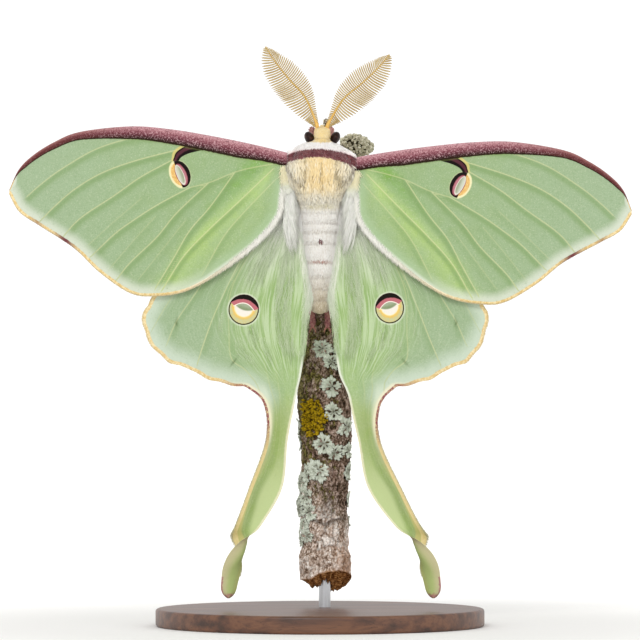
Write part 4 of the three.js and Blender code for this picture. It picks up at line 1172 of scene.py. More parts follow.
for number, (name, side) in enumerate(SIDES.items()):
    draw = np.random.default_rng(31 + number)
    count = 2600
    along = 0.01 + 0.32 * draw.random(count) ** 1.2
    across = 1.0 - 0.62 * draw.random(count) ** 1.4
    keep = across > 0.4 + 0.3 * smooth(along, 0.1, 0.35) * draw.random(count)
    along, across = along[keep], across[keep]
    count = len(along)
    share = np.linspace(0, 1, 6)
    reach = (3.6 + 3.5 * smooth(along, 0.3, 0.05)) * draw.uniform(0.6, 1.3, count)
    drift = draw.normal(0.0, 0.03, count)
    run = hindwing_step(along[:, None], reach[:, None] * share)
    spread = np.clip(across[:, None] + drift[:, None] * share, 0.03, 1.01)
    lift = (0.03 + 0.12 * smooth(along, 0.2, 0.0) * draw.random(count))[:, None]
    spine = hindwing_point(side, run, spread, 0.13 + lift * np.sin(np.pi * (0.08 + 0.86 * share)))
    width = draw.uniform(0.02, 0.034, count)[:, None] * np.array([0.7, 1, 0.9, 0.7, 0.4])
    white = smooth(along, 0.1, 0.0) + 0.6 * smooth(across, 0.93, 0.99) * smooth(along, 0.28, 0.12)
    white = np.clip(white + 0.45 * draw.random(count) ** 2 * smooth(along, 0.3, 0.1), 0, 1)
    spot_gap = np.hypot(np.abs(spine[..., 0]) - side["spot"][0], spine[..., 2] - side["spot"][1]).min(1)
    clear = spot_gap > HINDWING_SPOT_SIZE + 0.25
    patch = np.stack([0.02 + 0.96 * along, 0.02 + 0.46 * across], -1)[clear]
    hair = hair_locks(f"hair_hindwing_{name}", spine[clear], width[clear], 0.6, patch,
                      tint=draw.random(clear.sum()), white=white[clear])
    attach(hair, "root")

    # the white lock that runs from between the wings' roots down beside the abdomen
    count = 1100
    start = np.stack([draw.uniform(4.6, 6.3, count), draw.uniform(68.6, 77.2, count)], -1)
    goal = np.stack([3.4 + (start[:, 0] - 4.6) * 0.75 + draw.normal(0.1, 0.25, count),
                     start[:, 1] - draw.uniform(2.5, 6.5, count)], -1)
    share = np.linspace(0, 1, 6)
    flat = start[:, None] + (goal - start)[:, None] * share[:, None]
    flat[..., 0] += 0.35 * np.sin(np.pi * share)
    depth = BODY_Y - 1.2 - 1.1 * np.sin(np.pi * (0.12 + 0.8 * share)) * draw.uniform(0.1, 1, (count, 1))
    spine = np.stack([side["sign"] * flat[..., 0], depth, flat[..., 1]], -1)
    patch = np.stack([0.02 + 0.02 * start[:, 0], 0.3 + 0.02 * (start[:, 1] - 73)], -1)
    lock = hair_locks(f"hair_root_{name}", spine, 0.04 * np.array([0.7, 1, 1, 0.8, 0.5]), 0.6, patch,
                      tint=draw.random(count), white=draw.uniform(0.7, 1, count))
    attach(lock, "root")

    # cream hair over the forewing's root
    count = 1400
    outward = -1.3 + 2.0 * draw.random(count)
    ahead = -2.2 - 4.0 * draw.random(count)
    kept = outward < 0.9 + 0.22 * ahead + draw.normal(0, 0.25, count)
    outward, ahead = outward[kept], ahead[kept]
    count = len(outward)
    reach = draw.uniform(0.8, 1.7, count)[:, None]
    swing = (np.radians(-66) + draw.normal(0, 0.2, count))[:, None]
    share = np.linspace(0, 1, 5)
    plan = np.stack([outward[:, None] + reach * share * np.cos(swing),
                     ahead[:, None] + reach * share * np.sin(swing)], -1)
    spine = forewing_surface(side, plan)
    bulge = 0.2 * np.sin(np.pi * (0.05 + 0.9 * share))
    spine[..., 1] -= 0.15 + bulge * draw.uniform(0.5, 1.2, count)[:, None]
    root_white = 0.7 * smooth(ahead, -4, -6.2)
    patch = np.stack([0.04 + 0.02 * outward, 0.25 - 0.02 * ahead], -1)
    root_hair = hair_locks(f"hair_forewing_{name}", spine, 0.055 * np.array([0.8, 1, 0.8, 0.5]), 0.5, patch,
                           tint=draw.random(count), white=root_white, cream=0.9 * (1 - root_white))
    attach(root_hair, "root")

    # the forewing's fringe
    place = (np.arange(FRINGE_LOCKS) + 0.5) / FRINGE_LOCKS
    count = len(place)
    edge = even_curve(FOREWING_TRAILING, place)
    step = even_curve(FOREWING_TRAILING, place + 0.002) - even_curve(FOREWING_TRAILING, place - 0.002)
    out = np.stack([step[:, 1], -step[:, 0]], -1)
    out = out / np.linalg.norm(out, axis=1, keepdims=True)
    out = np.where(((edge - (20, -8)) * out).sum(1, keepdims=True) < 0, -out, out)
    inner = smooth(edge[:, 0], 20, 4)
    reach = (0.15 + 0.5 * inner) * draw.uniform(0.6, 1.2, count)
    lean = 0.3 + 0.8 * inner + draw.normal(0, 0.2, count)
    out = out + step / np.linalg.norm(step, axis=1, keepdims=True) * lean[:, None]
    share = np.linspace(-0.3 - 0.7 * inner * draw.random(count), 1, 4, axis=1)[..., None]
    spine = forewing_surface(side, edge[:, None] + out[:, None] * reach[:, None, None] * share)
    spine[..., 1] += draw.uniform(-0.04, 0.06, count)[:, None] - 0.2 * inner[:, None]
    patch = np.stack([0.02 + 0.96 * place, 0.47 + 0 * place], -1)
    fringe = hair_locks(f"fringe_forewing_{name}", spine, 0.055 * np.array([1, 1, 0.6]), 0.5, patch,
                        tint=draw.random(count), white=0.4 + 0.4 * inner, gold=1 - inner,
                        rose=rosy_rim(edge[:, 0]), cream=0.6 * inner)
    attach(fringe, "root")

    # the hindwing's fringe, from its root to the lower end of its tail
    place = np.interp(0.01 + 0.98 * place, np.linspace(0, 1, len(hindwing_rows)), hindwing_rows)
    place = place[place < 0.9]
    count = len(place)
    chord = np.linalg.norm(outer_rim(place) - inner_rim(place), axis=1)
    reach = draw.uniform(0.12, 0.26, count) * smooth(place, 0.02, 0.1)
    share = np.linspace(-0.4, 1, 4)
    run = hindwing_step(place[:, None], 0.9 * reach[:, None] * share + draw.normal(0, 0.03, (count, 1)))
    spine = hindwing_point(side, run, -(reach / chord)[:, None] * share)
    patch = np.stack([0.02 + 0.96 * place, 0.02 + 0 * place], -1)
    fringe = hair_locks(f"fringe_hindwing_{name}", spine, 0.05 * np.array([1, 1, 0.6]), 0.5, patch,
                        tint=draw.random(count), white=np.full(count, 0.4), rose=0.8 * tail_rose(place),
                        gold=1 - 0.5 * smooth(place, 0.5, 0.6))
    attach(fringe, "root")

# ---------------------------------------------------------------- antennae
# A male's feathery feelers: a golden shaft with two rows of fine, springy barbs on either side,
# the rows of each segment lying one behind the other. Each shaft is set into the brow.

ANTENNA = {"spread": 0.9, "height": 84.9, "lean": 1.6}
ANTENNA_OUTER = [(0.3, 0), (2.65, 1.1), (5.85, 3.75), (8.6, 7.5), (9.5, 10.4), (9.25, 13), (8.85, 13.75)]
ANTENNA_INNER = [(-0.35, 0), (0.15, 3.7), (0.6, 6.3), (1.95, 8.9), (4.1, 11.1), (6.6, 12.6), (8.2, 13.4)]
SHAFT = [(-0.1, -0.9), (0.16, 0.67), (2.02, 4.9), (4.72, 7.94), (7.3, 11.2), (8.65, 13.5)]
# share along the shaft where a barb grows, and the shares along the edges where it ends
BARB_ENDS = [(0.05, 0.03, 0.03), (0.2, 0.12, 0.14), (0.4, 0.39, 0.39), (0.6, 0.55, 0.64), (0.8, 0.785, 0.87),
             (0.92, 0.94, 0.95), (1, 1, 1)]
BARBS = {1: 44, 2: 50}  # in one row of the outer and of the inner side
BARB_WIDTH = {1: 0.125, 2: 0.11}
SHAFT_STEPS = 90


def antenna_place(side, flat, ahead):
    """A flat point of a feeler, turned about its base in the plane of the wings and carried to the
    head; ahead is how far along it is, by which it leans to the front."""
    turn = np.radians(side["antenna_turn"])
    x = flat[..., 0] * np.cos(turn) + flat[..., 1] * np.sin(turn)
    z = flat[..., 1] * np.cos(turn) - flat[..., 0] * np.sin(turn)
    y = BODY_Y - 0.6 - ANTENNA["lean"] * ahead
    return np.stack([0.38 + side["sign"] * (ANTENNA["spread"] + x), y, ANTENNA["height"] + z], -1)


def tube(path, radius, sides, across):
    """Rings of points round a path: circles of the radius at each of its points, square to it, with
    across a direction that the path never takes."""
    along = np.gradient(path, axis=0)
    along = along / np.linalg.norm(along, axis=1, keepdims=True)
    first = np.cross(along, across)
    first = first / np.linalg.norm(first, axis=1, keepdims=True)
    second = np.cross(along, first)
    turn = np.linspace(0, 2 * np.pi, sides, endpoint=False)[None, :, None]
    radius = np.broadcast_to(np.asarray(radius, float).reshape(len(path), -1), (len(path), sides))
    circle = first[:, None] * np.cos(turn) + second[:, None] * np.sin(turn)
    return path[:, None] + radius[..., None] * circle


paint = Paint("antenna_barbs", Roughness=0.7, Specular_IOR_Level=0.2)
tint = paint.number("tint")
tip = paint.number("tip")
colour = paint.mix(tint, "B4975C", "D8C799")
colour = colour.mix(tip.rise(0.2, 0.0) * 0.4, "9C7836")
barb_material = paint.finish(colour)
paint = Paint("antenna_shaft", Roughness=0.5)
where = paint.place()
ringed = paint.noise(where, 5.0, 2)
colour = paint.mix(paint.split(where)[2].rise(84.5, 90), "D9A441", "B08C3C")
colour = colour.mix(ringed.rise(0.4, 0.6) * 0.4, "F0D48A")
shaft_material = paint.finish(colour, ringed, 0.03)

for number, (name, side) in enumerate(SIDES.items()):
    draw = np.random.default_rng(41 + number)
    share = np.linspace(0, 1, SHAFT_STEPS)
    flat = even_curve(SHAFT, share)
    thick = np.interp(share, [0, 0.06, 0.12, 0.9, 1], [0.36, 0.34, 0.19, 0.1, 0.05])
    thick = thick * (1 + 0.1 * np.cos(share * 2 * np.pi * BARBS[1]))
    points, faces, corners = closed_tube(tube(antenna_place(side, flat, share), thick, 12, (0, 1, 0)))
    shaft = build(f"antenna_shaft_{name}", points, faces, shaft_material, corners=corners)
    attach(shaft, "root")
    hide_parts(f"antenna_{name}")

    spines, patches, tints, widths = [], [], [], []
    for column, (edge, ends) in enumerate([(ANTENNA_OUTER, 1), (ANTENNA_INNER, 2)] * 2):
        behind = column // 2  # the second row of each side lies behind the first, shorter on the outside
        barbs = BARBS[ends]
        start = 0.035 + 0.955 * (np.arange(barbs) + 0.12 * behind + 0.25) / barbs
        knots = np.array(BARB_ENDS)
        root = even_curve(SHAFT, start)
        goal = even_curve(edge, np.interp(start, knots[:, 0], knots[:, ends]))
        shorter = (1 - behind * (0.06 if ends == 1 else 0.02)) * (1 - 0.55 * smooth(start, 0.93, 1.0))
        reach = (goal - root) * (draw.uniform(0.95, 1.0, barbs) * shorter)[:, None]
        ahead = even_curve(SHAFT, np.minimum(start + 0.02, 1)) - even_curve(SHAFT, start - 0.02)
        ahead = ahead / np.linalg.norm(ahead, axis=1, keepdims=True)
        length = np.linalg.norm(reach, axis=1, keepdims=True)
        t = np.linspace(0, 1, 8)[None, :, None]
        bend = 0.07 * (ahead * length)[:, None] * np.sin(np.pi * t) * (1 - 0.4 * t)
        bow = root[:, None] + reach[:, None] * t - bend
        spine = antenna_place(side, bow, start[:, None] + 0 * t[..., 0])
        dip = 0.125 if behind else -0.06
        spine[..., 1] += dip * np.sin(t[..., 0] * np.pi * 0.5) * np.minimum(length, 2.5)
        spines.append(spine)
        tints.append(draw.random(barbs) * 0.5 + 0.5 * behind)
        widths.append(np.full(barbs, BARB_WIDTH[ends]))
        patches.append(np.stack([0.05 + 0.9 * start, 0.2 + 0.2 * column + 0 * start], -1))
    taper = np.array([0.8, 1, 1, 1, 1, 0.95, 0.8])
    barbs = locks(
        f"antenna_barbs_{name}", np.concatenate(spines), np.concatenate(widths)[:, None] * taper, 0.7,
        OUT_OF_BACK, np.concatenate(patches), barb_material, {"tint": np.concatenate(tints)})
    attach(barbs, "root")
    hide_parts(f"antenna_{name}")

# ---------------------------------------------------------------- legs
# Six short, rosy, hairy legs hold the twig, most of them hidden by body and wings. Each has one
# skin from hip to foot, a coat of short tufts and a pair of small horny claws.

# outward from the body's middle, behind it, height; and the radius at each point
LEGS = {
    "fore": ([(0.9, 3.4, 78), (1.5, 4.9, 79.5), (1.7, 4.6, 82.2), (1.6, 4.8, 84.2), (1.65, 5.6, 84.5),
              (1.9, 6.8, 83.4), (2.1, 7.6, 82.2)], (0.5, 0.5, 0.42, 0.42, 0.4, 0.36, 0.28)),
    "mid": ([(2.4, 3.2, 75.6), (3.5, 4.4, 76.8), (4.7, 5.3, 77.8), (5.05, 6.6, 77.2), (4.9, 8.6, 74.8),
             (4.75, 9.4, 72.6)], (0.5, 0.5, 0.42, 0.42, 0.34, 0.28)),
    "hind": ([(1.3, 3.2, 73), (1.7, 4.7, 72), (2.2, 4.8, 66), (2.3, 4.75, 58), (1.4, 4.75, 54.5),
              (1.25, 4.75, 50.7)], (0.4, 0.42, 0.38, 0.42, 0.46, 0.42)),
}
CLAW = {"length": 1.1, "spread": 0.5, "radius": 0.2}
FOOT_SHIFT = {"fore": 0.38, "mid": 0.8, "hind": 0}  # sideways, towards the twig that the foot holds
LEG_GRID = (70, 20)
TUFTS, TUFT_TURNS = 420, 64

paint = Paint("leg_rose", Roughness=0.75, Specular_IOR_Level=0.2)
where = paint.place()
mottle = paint.noise(where, 2.2, 3, 0.6)
colour = paint.mix(mottle.rise(0.35, 0.65), "BC8682", "945660")
z = paint.split(where)[2]
colour = colour.mix(z.rise(80.5, 83) * 0.7, "D0A294")
tip = paint.number("tip")
colour = colour.mix(tip * 0.5, "C98F92")
leg_material = paint.finish(colour, mottle, 0.08)
paint = Paint("claw_horn", Roughness=0.35)
shade = paint.noise(paint.place(), 3.0, 2)
claw_material = paint.finish(paint.mix(shade, "B97B6C", "8A4F44"), shade, 0.02)


def closed_tubes(rings):
    """closed_tube() for many tubes at once, (tubes, rings, sides, 3)."""
    _, faces, corners = closed_tube(rings[0])
    points = np.concatenate([rings.reshape(len(rings), -1, 3), rings[:, [0, -1]].mean(2)], 1)
    shift = np.arange(len(rings))[:, None, None] * points.shape[1]
    faces = [(each + shift).reshape(-1, each.shape[1]) for each in faces]
    return points.reshape(-1, 3), faces, np.tile(corners, (len(rings), 1))


for number, (pair, name) in enumerate((p, s) for p in LEGS for s in SIDES):
    sign = SIDES[name]["sign"]
    draw = np.random.default_rng(51 + number)
    path, radii = LEGS[pair]
    share = np.linspace(0, 1, LEG_GRID[0])
    run = curve(path, share)
    run = np.stack([sign * run[:, 0] + FOOT_SHIFT[pair] * share, BODY_Y + run[:, 1], run[:, 2]], -1)
    thick = np.interp(share, np.linspace(0, 1, len(radii)), radii)
    ends = np.sqrt(np.clip(1 - ((share - 0.5) / 0.5) ** 40, 0.02, 1))
    bumps = 1 + 0.06 * np.cos(share * 40)
    rings = tube(run, thick * ends * bumps * 0.92, LEG_GRID[1], (1, 0, 0))
    points, faces, corners = closed_tube(rings)
    leg = build(f"leg_skin_{pair}_{name}", points, faces, leg_material, {"tip": np.zeros(len(points))},
                corners=corners)
    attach(leg, "root")
    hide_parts(f"leg_{pair}_{name}")

    # tufts along the leg, each towards its foot
    at, around = 0.12 + 0.84 * draw.random(TUFTS), draw.random(TUFTS)
    last = len(run) - 1
    steps = np.linspace(0, 1, 4)
    pace = np.linalg.norm(np.diff(run, axis=0), axis=1).mean()
    rows = np.clip(at[:, None] * last + steps * 0.55 / pace, 0, last)
    low, part_way = np.floor(rows).astype(int), (rows % 1)[..., None]
    high = np.minimum(low + 1, last)
    column = (around * TUFT_TURNS).astype(int)[:, None]
    skins = (tube(run, radius, TUFT_TURNS, (1, 0, 0)) for radius in (thick * 0.9, thick + 0.16))
    inner, outer = (hoops[low, column] + (hoops[high, column] - hoops[low, column]) * part_way
                    for hoops in skins)
    rise = np.sin(steps * np.pi * 0.6)[None, :, None] * draw.uniform(0.5, 1.2, TUFTS)[:, None, None]
    tufts = locks(
        f"leg_tufts_{pair}_{name}", inner + (outer - inner) * rise, np.array([[0.05, 0.06, 0.04]]), 0.6,
        inner[:, 0] - run[low[:, 0]], round_map(at, around), leg_material)
    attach(tufts, "root")

    onward = (run[-1] - run[-6]) / np.linalg.norm(run[-1] - run[-6])
    t = np.linspace(0, 1, 16)
    bent = run[-1] - onward * 0.25 + np.outer(t * CLAW["length"], onward)
    apart = np.outer(0.12 + CLAW["spread"] * np.sin(t * 1.9) * 0.8, (1, 0, 0))
    narrow = CLAW["radius"] * (1 - 0.85 * t**1.5)
    points, faces, corners = closed_tubes(np.stack([
        tube(bent + way * apart, narrow, 10, (0.3, 1, 0.2)) for way in (-1, 1)]))
    halves = np.repeat([(0.0, 0.0), (0.5, 0.0)], len(points) // 2, axis=0)
    claws = build(f"claws_{pair}_{name}", points, faces, claw_material, corners=corners * (0.5, 1) + halves)
    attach(claws, "root")

# ---------------------------------------------------------------- twig
# The moth's perch is a short length of dead branch: fissured dark bark above, a swollen knot and
# paler, flaking bark below it, and a fibrous broken end that faces down and forward.

TWIG = {"x": 0.8, "y": 5.0, "radius": 4.0, "top": 80.8, "middle": 7.6}
# the broken end's rim: degrees from the front, height
BREAK = [(-180, 6.3), (-150, 7.0), (-120, 7.6), (-90, 7.7), (-60, 7.7), (-33, 7.9), (-14, 8.8), (8, 9.3),
         (40, 9.3), (70, 8.8), (90, 8.2), (120, 6.8), (150, 5.8), (180, 6.3)]
STUMP = {"height": 12.5, "flare": 0.4}
KNOT = {"degrees": 8, "height": 20.3, "wide": 1.2, "high": 3.4}
SPROUT = [(0.9, 4.0, 77.5), (1.0, 3.4, 79.6), (1.1, 2.6, 83.0), (1.0, 2.4, 86.5)]
BARK_GRID = (440, 160)
PLATES, FLAKES = 20, 48  # the bark's large and small scales, counted round the twig
CRACKLE_ROWS = 400
# degrees from the front, height, radius, rise: swellings under the larger lichens and knots
SWELLINGS = [
    (-4, 47.3, 1.9, 0.3), (16, 45.3, 1.5, 0.3), (20, 40.8, 1.8, 0.3), (18, 36.4, 1.8, 0.3),
    (55, 33.7, 1.8, 0.3), (0, 30.6, 2.2, 0.3), (70, 28.2, 2, 0.3), (-20, 26, 2.5, 0.3),
    (-75, 33, 1.8, 0.3), (-72, 24.5, 2, 0.5), (-75, 20.5, 2, 0.4), (-50, 16.4, 2.2, 0.3),
    (150, 55, 2.6, 0.5), (200, 38, 2.8, 0.5), (130, 17, 2.4, 0.4), (-140, 66, 2.6, 0.5),
    (-88, 40, 5, 0.6), (88, 36.5, 6.5, 0.7),
]


def arc_from(angle, degrees):
    """How far round the twig an angle lies from another one, in millimetres."""
    return ((angle - np.radians(degrees) + np.pi) % (2 * np.pi) - np.pi) * TWIG["radius"]


def twig_point(angle, height, lift=0.0):
    """A point of the twig's rough outline: a round column with long and short waves, swellings and
    a flare above its broken end. The angle is 0 at the front."""
    flared = 1 - smooth(height, STUMP["height"] - 0.8, STUMP["height"] + 0.8)
    radius = TWIG["radius"] + STUMP["flare"] * flared
    radius = radius + 0.12 * np.sin(3 * angle + 0.35 * height) + 0.08 * np.sin(5 * angle - 0.8 * height)
    swollen = 0 * radius
    for degrees, level, size, rise in SWELLINGS:
        gap = np.hypot(arc_from(angle, degrees), height - level) / size
        swollen = np.maximum(swollen, rise * np.exp(-(gap**4)))
    radius = radius + swollen + lift
    x, y = TWIG["x"] + radius * np.sin(angle), TWIG["y"] - radius * np.cos(angle)
    return np.stack([x, y, height + 0 * angle], -1)


def crackle(across, along, cells, seed):
    """Cellular noise on a tube: the distance to the nearest seed, that to the next nearest, and a
    random number of the nearest. Seeds are jittered in a grid of so many cells round the tube."""
    jitter = np.random.default_rng(seed).random((cells, CRACKLE_ROWS, 3))
    column, row = np.floor(across).astype(int), np.floor(along).astype(int)
    first, second, label = np.full(across.shape, 9.0), np.full(across.shape, 9.0), np.zeros(across.shape)
    for i, j in ((i, j) for i in (-1, 0, 1) for j in (-1, 0, 1)):
        seedling = jitter[(column + i) % cells, (row + j) % CRACKLE_ROWS]
        gap = np.hypot(column + i + seedling[..., 0] - across, row + j + seedling[..., 1] - along)
        nearer = gap < first
        second = np.where(nearer, first, np.minimum(second, gap))
        label = np.where(nearer, seedling[..., 2], label)
        first = np.where(nearer, gap, first)
    return first, second, label


paint = Paint("twig_bark", Roughness=0.92, Specular_IOR_Level=0.15)
where = paint.place()
x, y, z = paint.split(where)
fine = paint.noise(where, 3.2, 4, 0.75)
medium = paint.noise(where.stretch((1, 1, 0.7)), 1.1, 3, 0.65)
broad = paint.noise(where, 0.4, 3, 0.6)
flakes = paint.cells(where.stretch((1, 1, 0.6)), 2.6)
plate = paint.number("plate")
groove = paint.number("groove")
relief = fine * 0.6 + plate * 0.2 + (1 - flakes) * 0.2
upper = relief.ramp((0.38, "1E160D"), (0.45, "554232"), (0.52, "8A7264"), (0.6, "C4AEA2"))
lower = relief.ramp((0.36, "5E4A3A"), (0.43, "B29A88"), (0.5, "DAC6B8"), (0.58, "FAF2EA"))
low = (z + (medium - 0.5) * 8 + x).rise(25, 20)
colour = upper.mix(low, lower)
mossy = (medium + broad * 0.6 - x * 0.03).rise(0.78, 0.92) * (1 - low)
moss_colour = paint.mix(fine.rise(0.4, 0.62), "2E2C10", "8C8440")
colour = colour.mix(mossy * 0.85, moss_colour)
rosy = medium.rise(0.42, 0.3) * (1 - low)
colour = colour.mix(rosy * 0.4, "94736A")
orange = (x - z * 0.1).rise(0.2, 3) * z.rise(16, 11)
colour = colour.mix(orange * fine.rise(0.3, 0.6) * 0.6, "B0784E")
colour = colour.mix(groove * 0.7, "2C2216")
wood = paint.noise(where.stretch((1.4, 1.4, 3)), 1.6, 4, 0.7)
wood_colour = wood.ramp((0.34, "50300F"), (0.46, "9E6A36"), (0.58, "D09A62"), (0.7, "E9C699"))
colour = colour.mix(paint.number("wood"), wood_colour)
bark_material = paint.finish(colour, relief, 0.25)

turns = np.linspace(0, 2 * np.pi, BARK_GRID[1], endpoint=False)
share, around = np.meshgrid(np.linspace(0, 1, BARK_GRID[0]), turns, indexing="ij")
foot = np.interp((np.degrees(around) + 180) % 360 - 180, *np.array(BREAK).T)
height = foot + (TWIG["top"] - foot) * share
warp = 0.35 * np.sin(height * 1.3 + 2 * around) + 0.2 * np.sin(height * 2.9 - 5 * around)
first, second, label = crackle(
    around / (2 * np.pi) * PLATES + 0.3 * warp, height / 1.9 + 40 + warp, PLATES, 61)
small_first, small_second, small_label = crackle(
    around / (2 * np.pi) * FLAKES + warp, height * 1.6 + 40 + warp, FLAKES, 62)
groove = 1 - smooth(second - first, 0.0, 0.2)
small_groove = 1 - smooth(small_second - small_first, 0.0, 0.3)
knot = np.hypot(arc_from(around, KNOT["degrees"]) / KNOT["wide"], (height - KNOT["height"]) / KNOT["high"])
knot = np.exp(-(knot**4))
ledge = bell(height - 16.6 - 1.6 * np.sin(around * 1.4 + 0.3), 0.35) * smooth(np.cos(around + 0.1), -0.2, 0.6)
relief = (-0.12 * groove * label - 0.16 * small_groove + 0.16 * label + 0.14 * small_label + 0.2 * knot
          - 0.22 * ledge)
relief = relief + 0.05 * np.sin(9 * around + 2.3 * height) - 0.15
relief = relief * smooth(share, 0, 0.01)
top_round = np.sqrt(np.clip(1 - smooth(share, 0.95, 1.0) ** 2, 0.003, 1))
skin = twig_point(around, height, relief)
core = np.array([TWIG["x"], TWIG["y"]])
skin[..., :2] = core + (skin[..., :2] - core) * top_round[..., None]

# the broken end: a ring of torn bark, then fibres that run in to a hollowed middle
inwards = np.linspace(1, 0, 34)[:-1, None]
torn = np.random.default_rng(64).normal(0, 1, (2, 12))
ragged = sum(torn[0, k] * np.sin((k + 3) * turns * 2) + torn[1, k] * np.cos((k + 4) * turns * 3)
             for k in range(12))
middle = np.array([*core, TWIG["middle"]])
end_rings = skin[0] + (middle - skin[0]) * inwards[..., None]
hollow = 0.7 * smooth(inwards, 0.04, 0.12) - 0.9 * smooth(inwards, 0.12, 0.45)
rough = 0.14 * ragged * np.sin(np.pi * inwards)
end_rings[..., 2] += hollow + rough + 0.2 * np.sin(inwards * 23 + 3 * np.cos(turns))
points, faces, corners = closed_tube(np.concatenate([end_rings, skin])[::-1])


def spread_out(values, inside_value):
    """One number for each point of the twig: that of its bark, one for its broken end, its two ends."""
    grid = np.concatenate([np.full(end_rings.shape[:2], inside_value), values])[::-1]
    return np.concatenate([grid.ravel(), [values[-1, 0], inside_value]])


cracks = np.clip(groove * label + small_groove * 0.5 + ledge * 0.9 + knot * 0.5, 0, 1)
bark = build(
    "twig_bark_skin", points, faces, bark_material,
    numbers={
        "plate": spread_out(label * 0.6 + small_label * 0.4, 0.5),
        "groove": spread_out(cracks, 0.0),
        "wood": spread_out(0.6 * smooth(share, 0.004, 0.0), 1.0),
    },
    corners=corners)
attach(bark, "root")
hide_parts("perch_twig")

share = np.linspace(0, 1, 90)
run = curve(SPROUT, share)
thick = np.interp(share, [0, 0.4, 0.75, 0.97, 1], [0.75, 0.68, 0.52, 0.4, 0.1])
turn = np.linspace(0, 2 * np.pi, 28, endpoint=False)[None, :]
gnarled = 1 + 0.1 * np.sin(share[:, None] * 60 + 2 * turn) + 0.08 * np.sin(share[:, None] * 23 - 3 * turn)
points, faces, corners = closed_tube(tube(run, thick[:, None] * gnarled, 28, (1, 0, 0)))
number = np.full(len(points), 0.3)
sprout = build("twig_sprout", points, faces, bark_material,
               {"plate": number, "groove": number * 0.5, "wood": number * 0}, corners=corners)
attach(sprout, "root")
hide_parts("perch_twig")

# ---------------------------------------------------------------- lichens
# Grey-green leafy lichens grow on the bark in flat rosettes: lobes that fan out from a middle and
# fork into rounded notches. One golden patch is made of tiny, crowded, curled lobes, and moss
# fills a few cracks. A coral-like cushion grows on the upper end, beside the moth's head.

LICHEN_PAD = {"at": (6.3, 5.2, 82.0), "radii": (3.0, 1.4, 1.9), "lean": 12, "knobs": 300}
# degrees from the front, height, radius of each rosette
ROSETTES = [
    (-4, 47.3, 1.9), (18, 45.0, 1.5), (35, 47.0, 1.4), (17, 40.8, 1.8), (19, 36.4, 1.7), (52, 33.9, 1.8),
    (-2, 31.0, 2.0), (24, 29.4, 1.6), (66, 29.8, 1.6), (74, 26.4, 1.7), (-14, 26.6, 2.1), (-38, 26.0, 1.8),
    (-64, 24.6, 1.8), (-88, 22.6, 1.7), (-52, 22.0, 1.7), (-78, 19.8, 1.6), (-40, 19.4, 1.6),
    (-56, 17.2, 1.7), (-44, 15.2, 1.4), (-70, 14.4, 1.4), (-86, 33.8, 1.5), (-82, 31.2, 1.4), (88, 21.4, 1.3),
    (150, 55, 2.3), (200, 38, 2.5), (130, 17, 2.1), (-140, 66, 2.3), (170, 47, 1.7), (235, 30, 1.9),
    (110, 39, 1.7), (-110, 52, 1.6), (95, 62, 1.9), (180, 25, 1.9), (160, 72, 1.6), (260, 60, 1.7),
    (215, 19, 1.6),
]
LOBES = 7  # long ones in each rosette
# how each kind of lobe leaves its long one: turn in radians, then start, length and width as shares
LOBE_KINDS = [(0, 0.04, 0.96, 0.17), (0.85, 0.42, 0.46, 0.14), (-0.8, 0.3, 0.46, 0.14)]
LOBE_GRID = (5, 7)
LOBE_POINTS = 2 * LOBE_GRID[0] * LOBE_GRID[1]
GOLD = {"degrees": -29, "height": 35.5, "wide": 2.1, "high": 3.1, "lobes": 250}


def leaves(place, length, width, turn, curl, notch, rise):
    """Closed, thin, forked lobes on the bark. Each runs from its root for its length, widens to a
    fan whose rim is notched, and curls off the bark at its rim. place is (lobes, 2): arc and
    height on the bark in mm; turn is the direction it grows in."""
    rows, columns = LOBE_GRID
    along, across = np.meshgrid(np.linspace(0, 1, rows), np.linspace(-1, 1, columns), indexing="ij")
    fan = 0.42 + 0.58 * smooth(along, 0.2, 0.8)
    scallop = 1 - notch * bell(across, 0.3) * along**2 - 0.26 * across**2 * along
    reach = length[:, None, None] * along * scallop
    side = width[:, None, None] * across * fan * (1 - 0.45 * smooth(along, 0.75, 1.0))
    arc = place[:, 0, None, None] + reach * np.cos(turn)[:, None, None] - side * np.sin(turn)[:, None, None]
    level = place[:, 1, None, None] + reach * np.sin(turn)[:, None, None] + side * np.cos(turn)[:, None, None]
    lift = rise[:, None, None] + curl[:, None, None] * along**2 * length[:, None, None] - 0.1 * across**2
    thin = 0.07
    front = twig_point(arc / TWIG["radius"], level, lift + thin)
    back = twig_point(arc / TWIG["radius"], level, lift - thin)
    points, faces, corners = closed_sheet(front, back)
    return points, faces, corners, np.tile((along * (1 - 0.3 * across**2)).ravel(), 2 * len(length))


paint = Paint("lichen_grey", Roughness=0.9, Specular_IOR_Level=0.15)
where = paint.place()
fine = paint.noise(where, 3.5, 3, 0.65)
rim = paint.number("rim")
# painted light and shade: each lobe paler towards its curled rim and darker at its base, where the lobes
# overlap
colour = paint.mix(rim.rise(0.1, 0.9), "9BA191", "D2D8CB")
colour = colour.layers(
    (rim.rise(0.35, 0.0) * 0.6, "6E6456"),
    (fine.rise(0.5, 0.35) * 0.45, "7E8472"),
    (paint.number("tint") * 0.4, "DADFD2"))
lichen_material = paint.finish(colour, fine, 0.1)

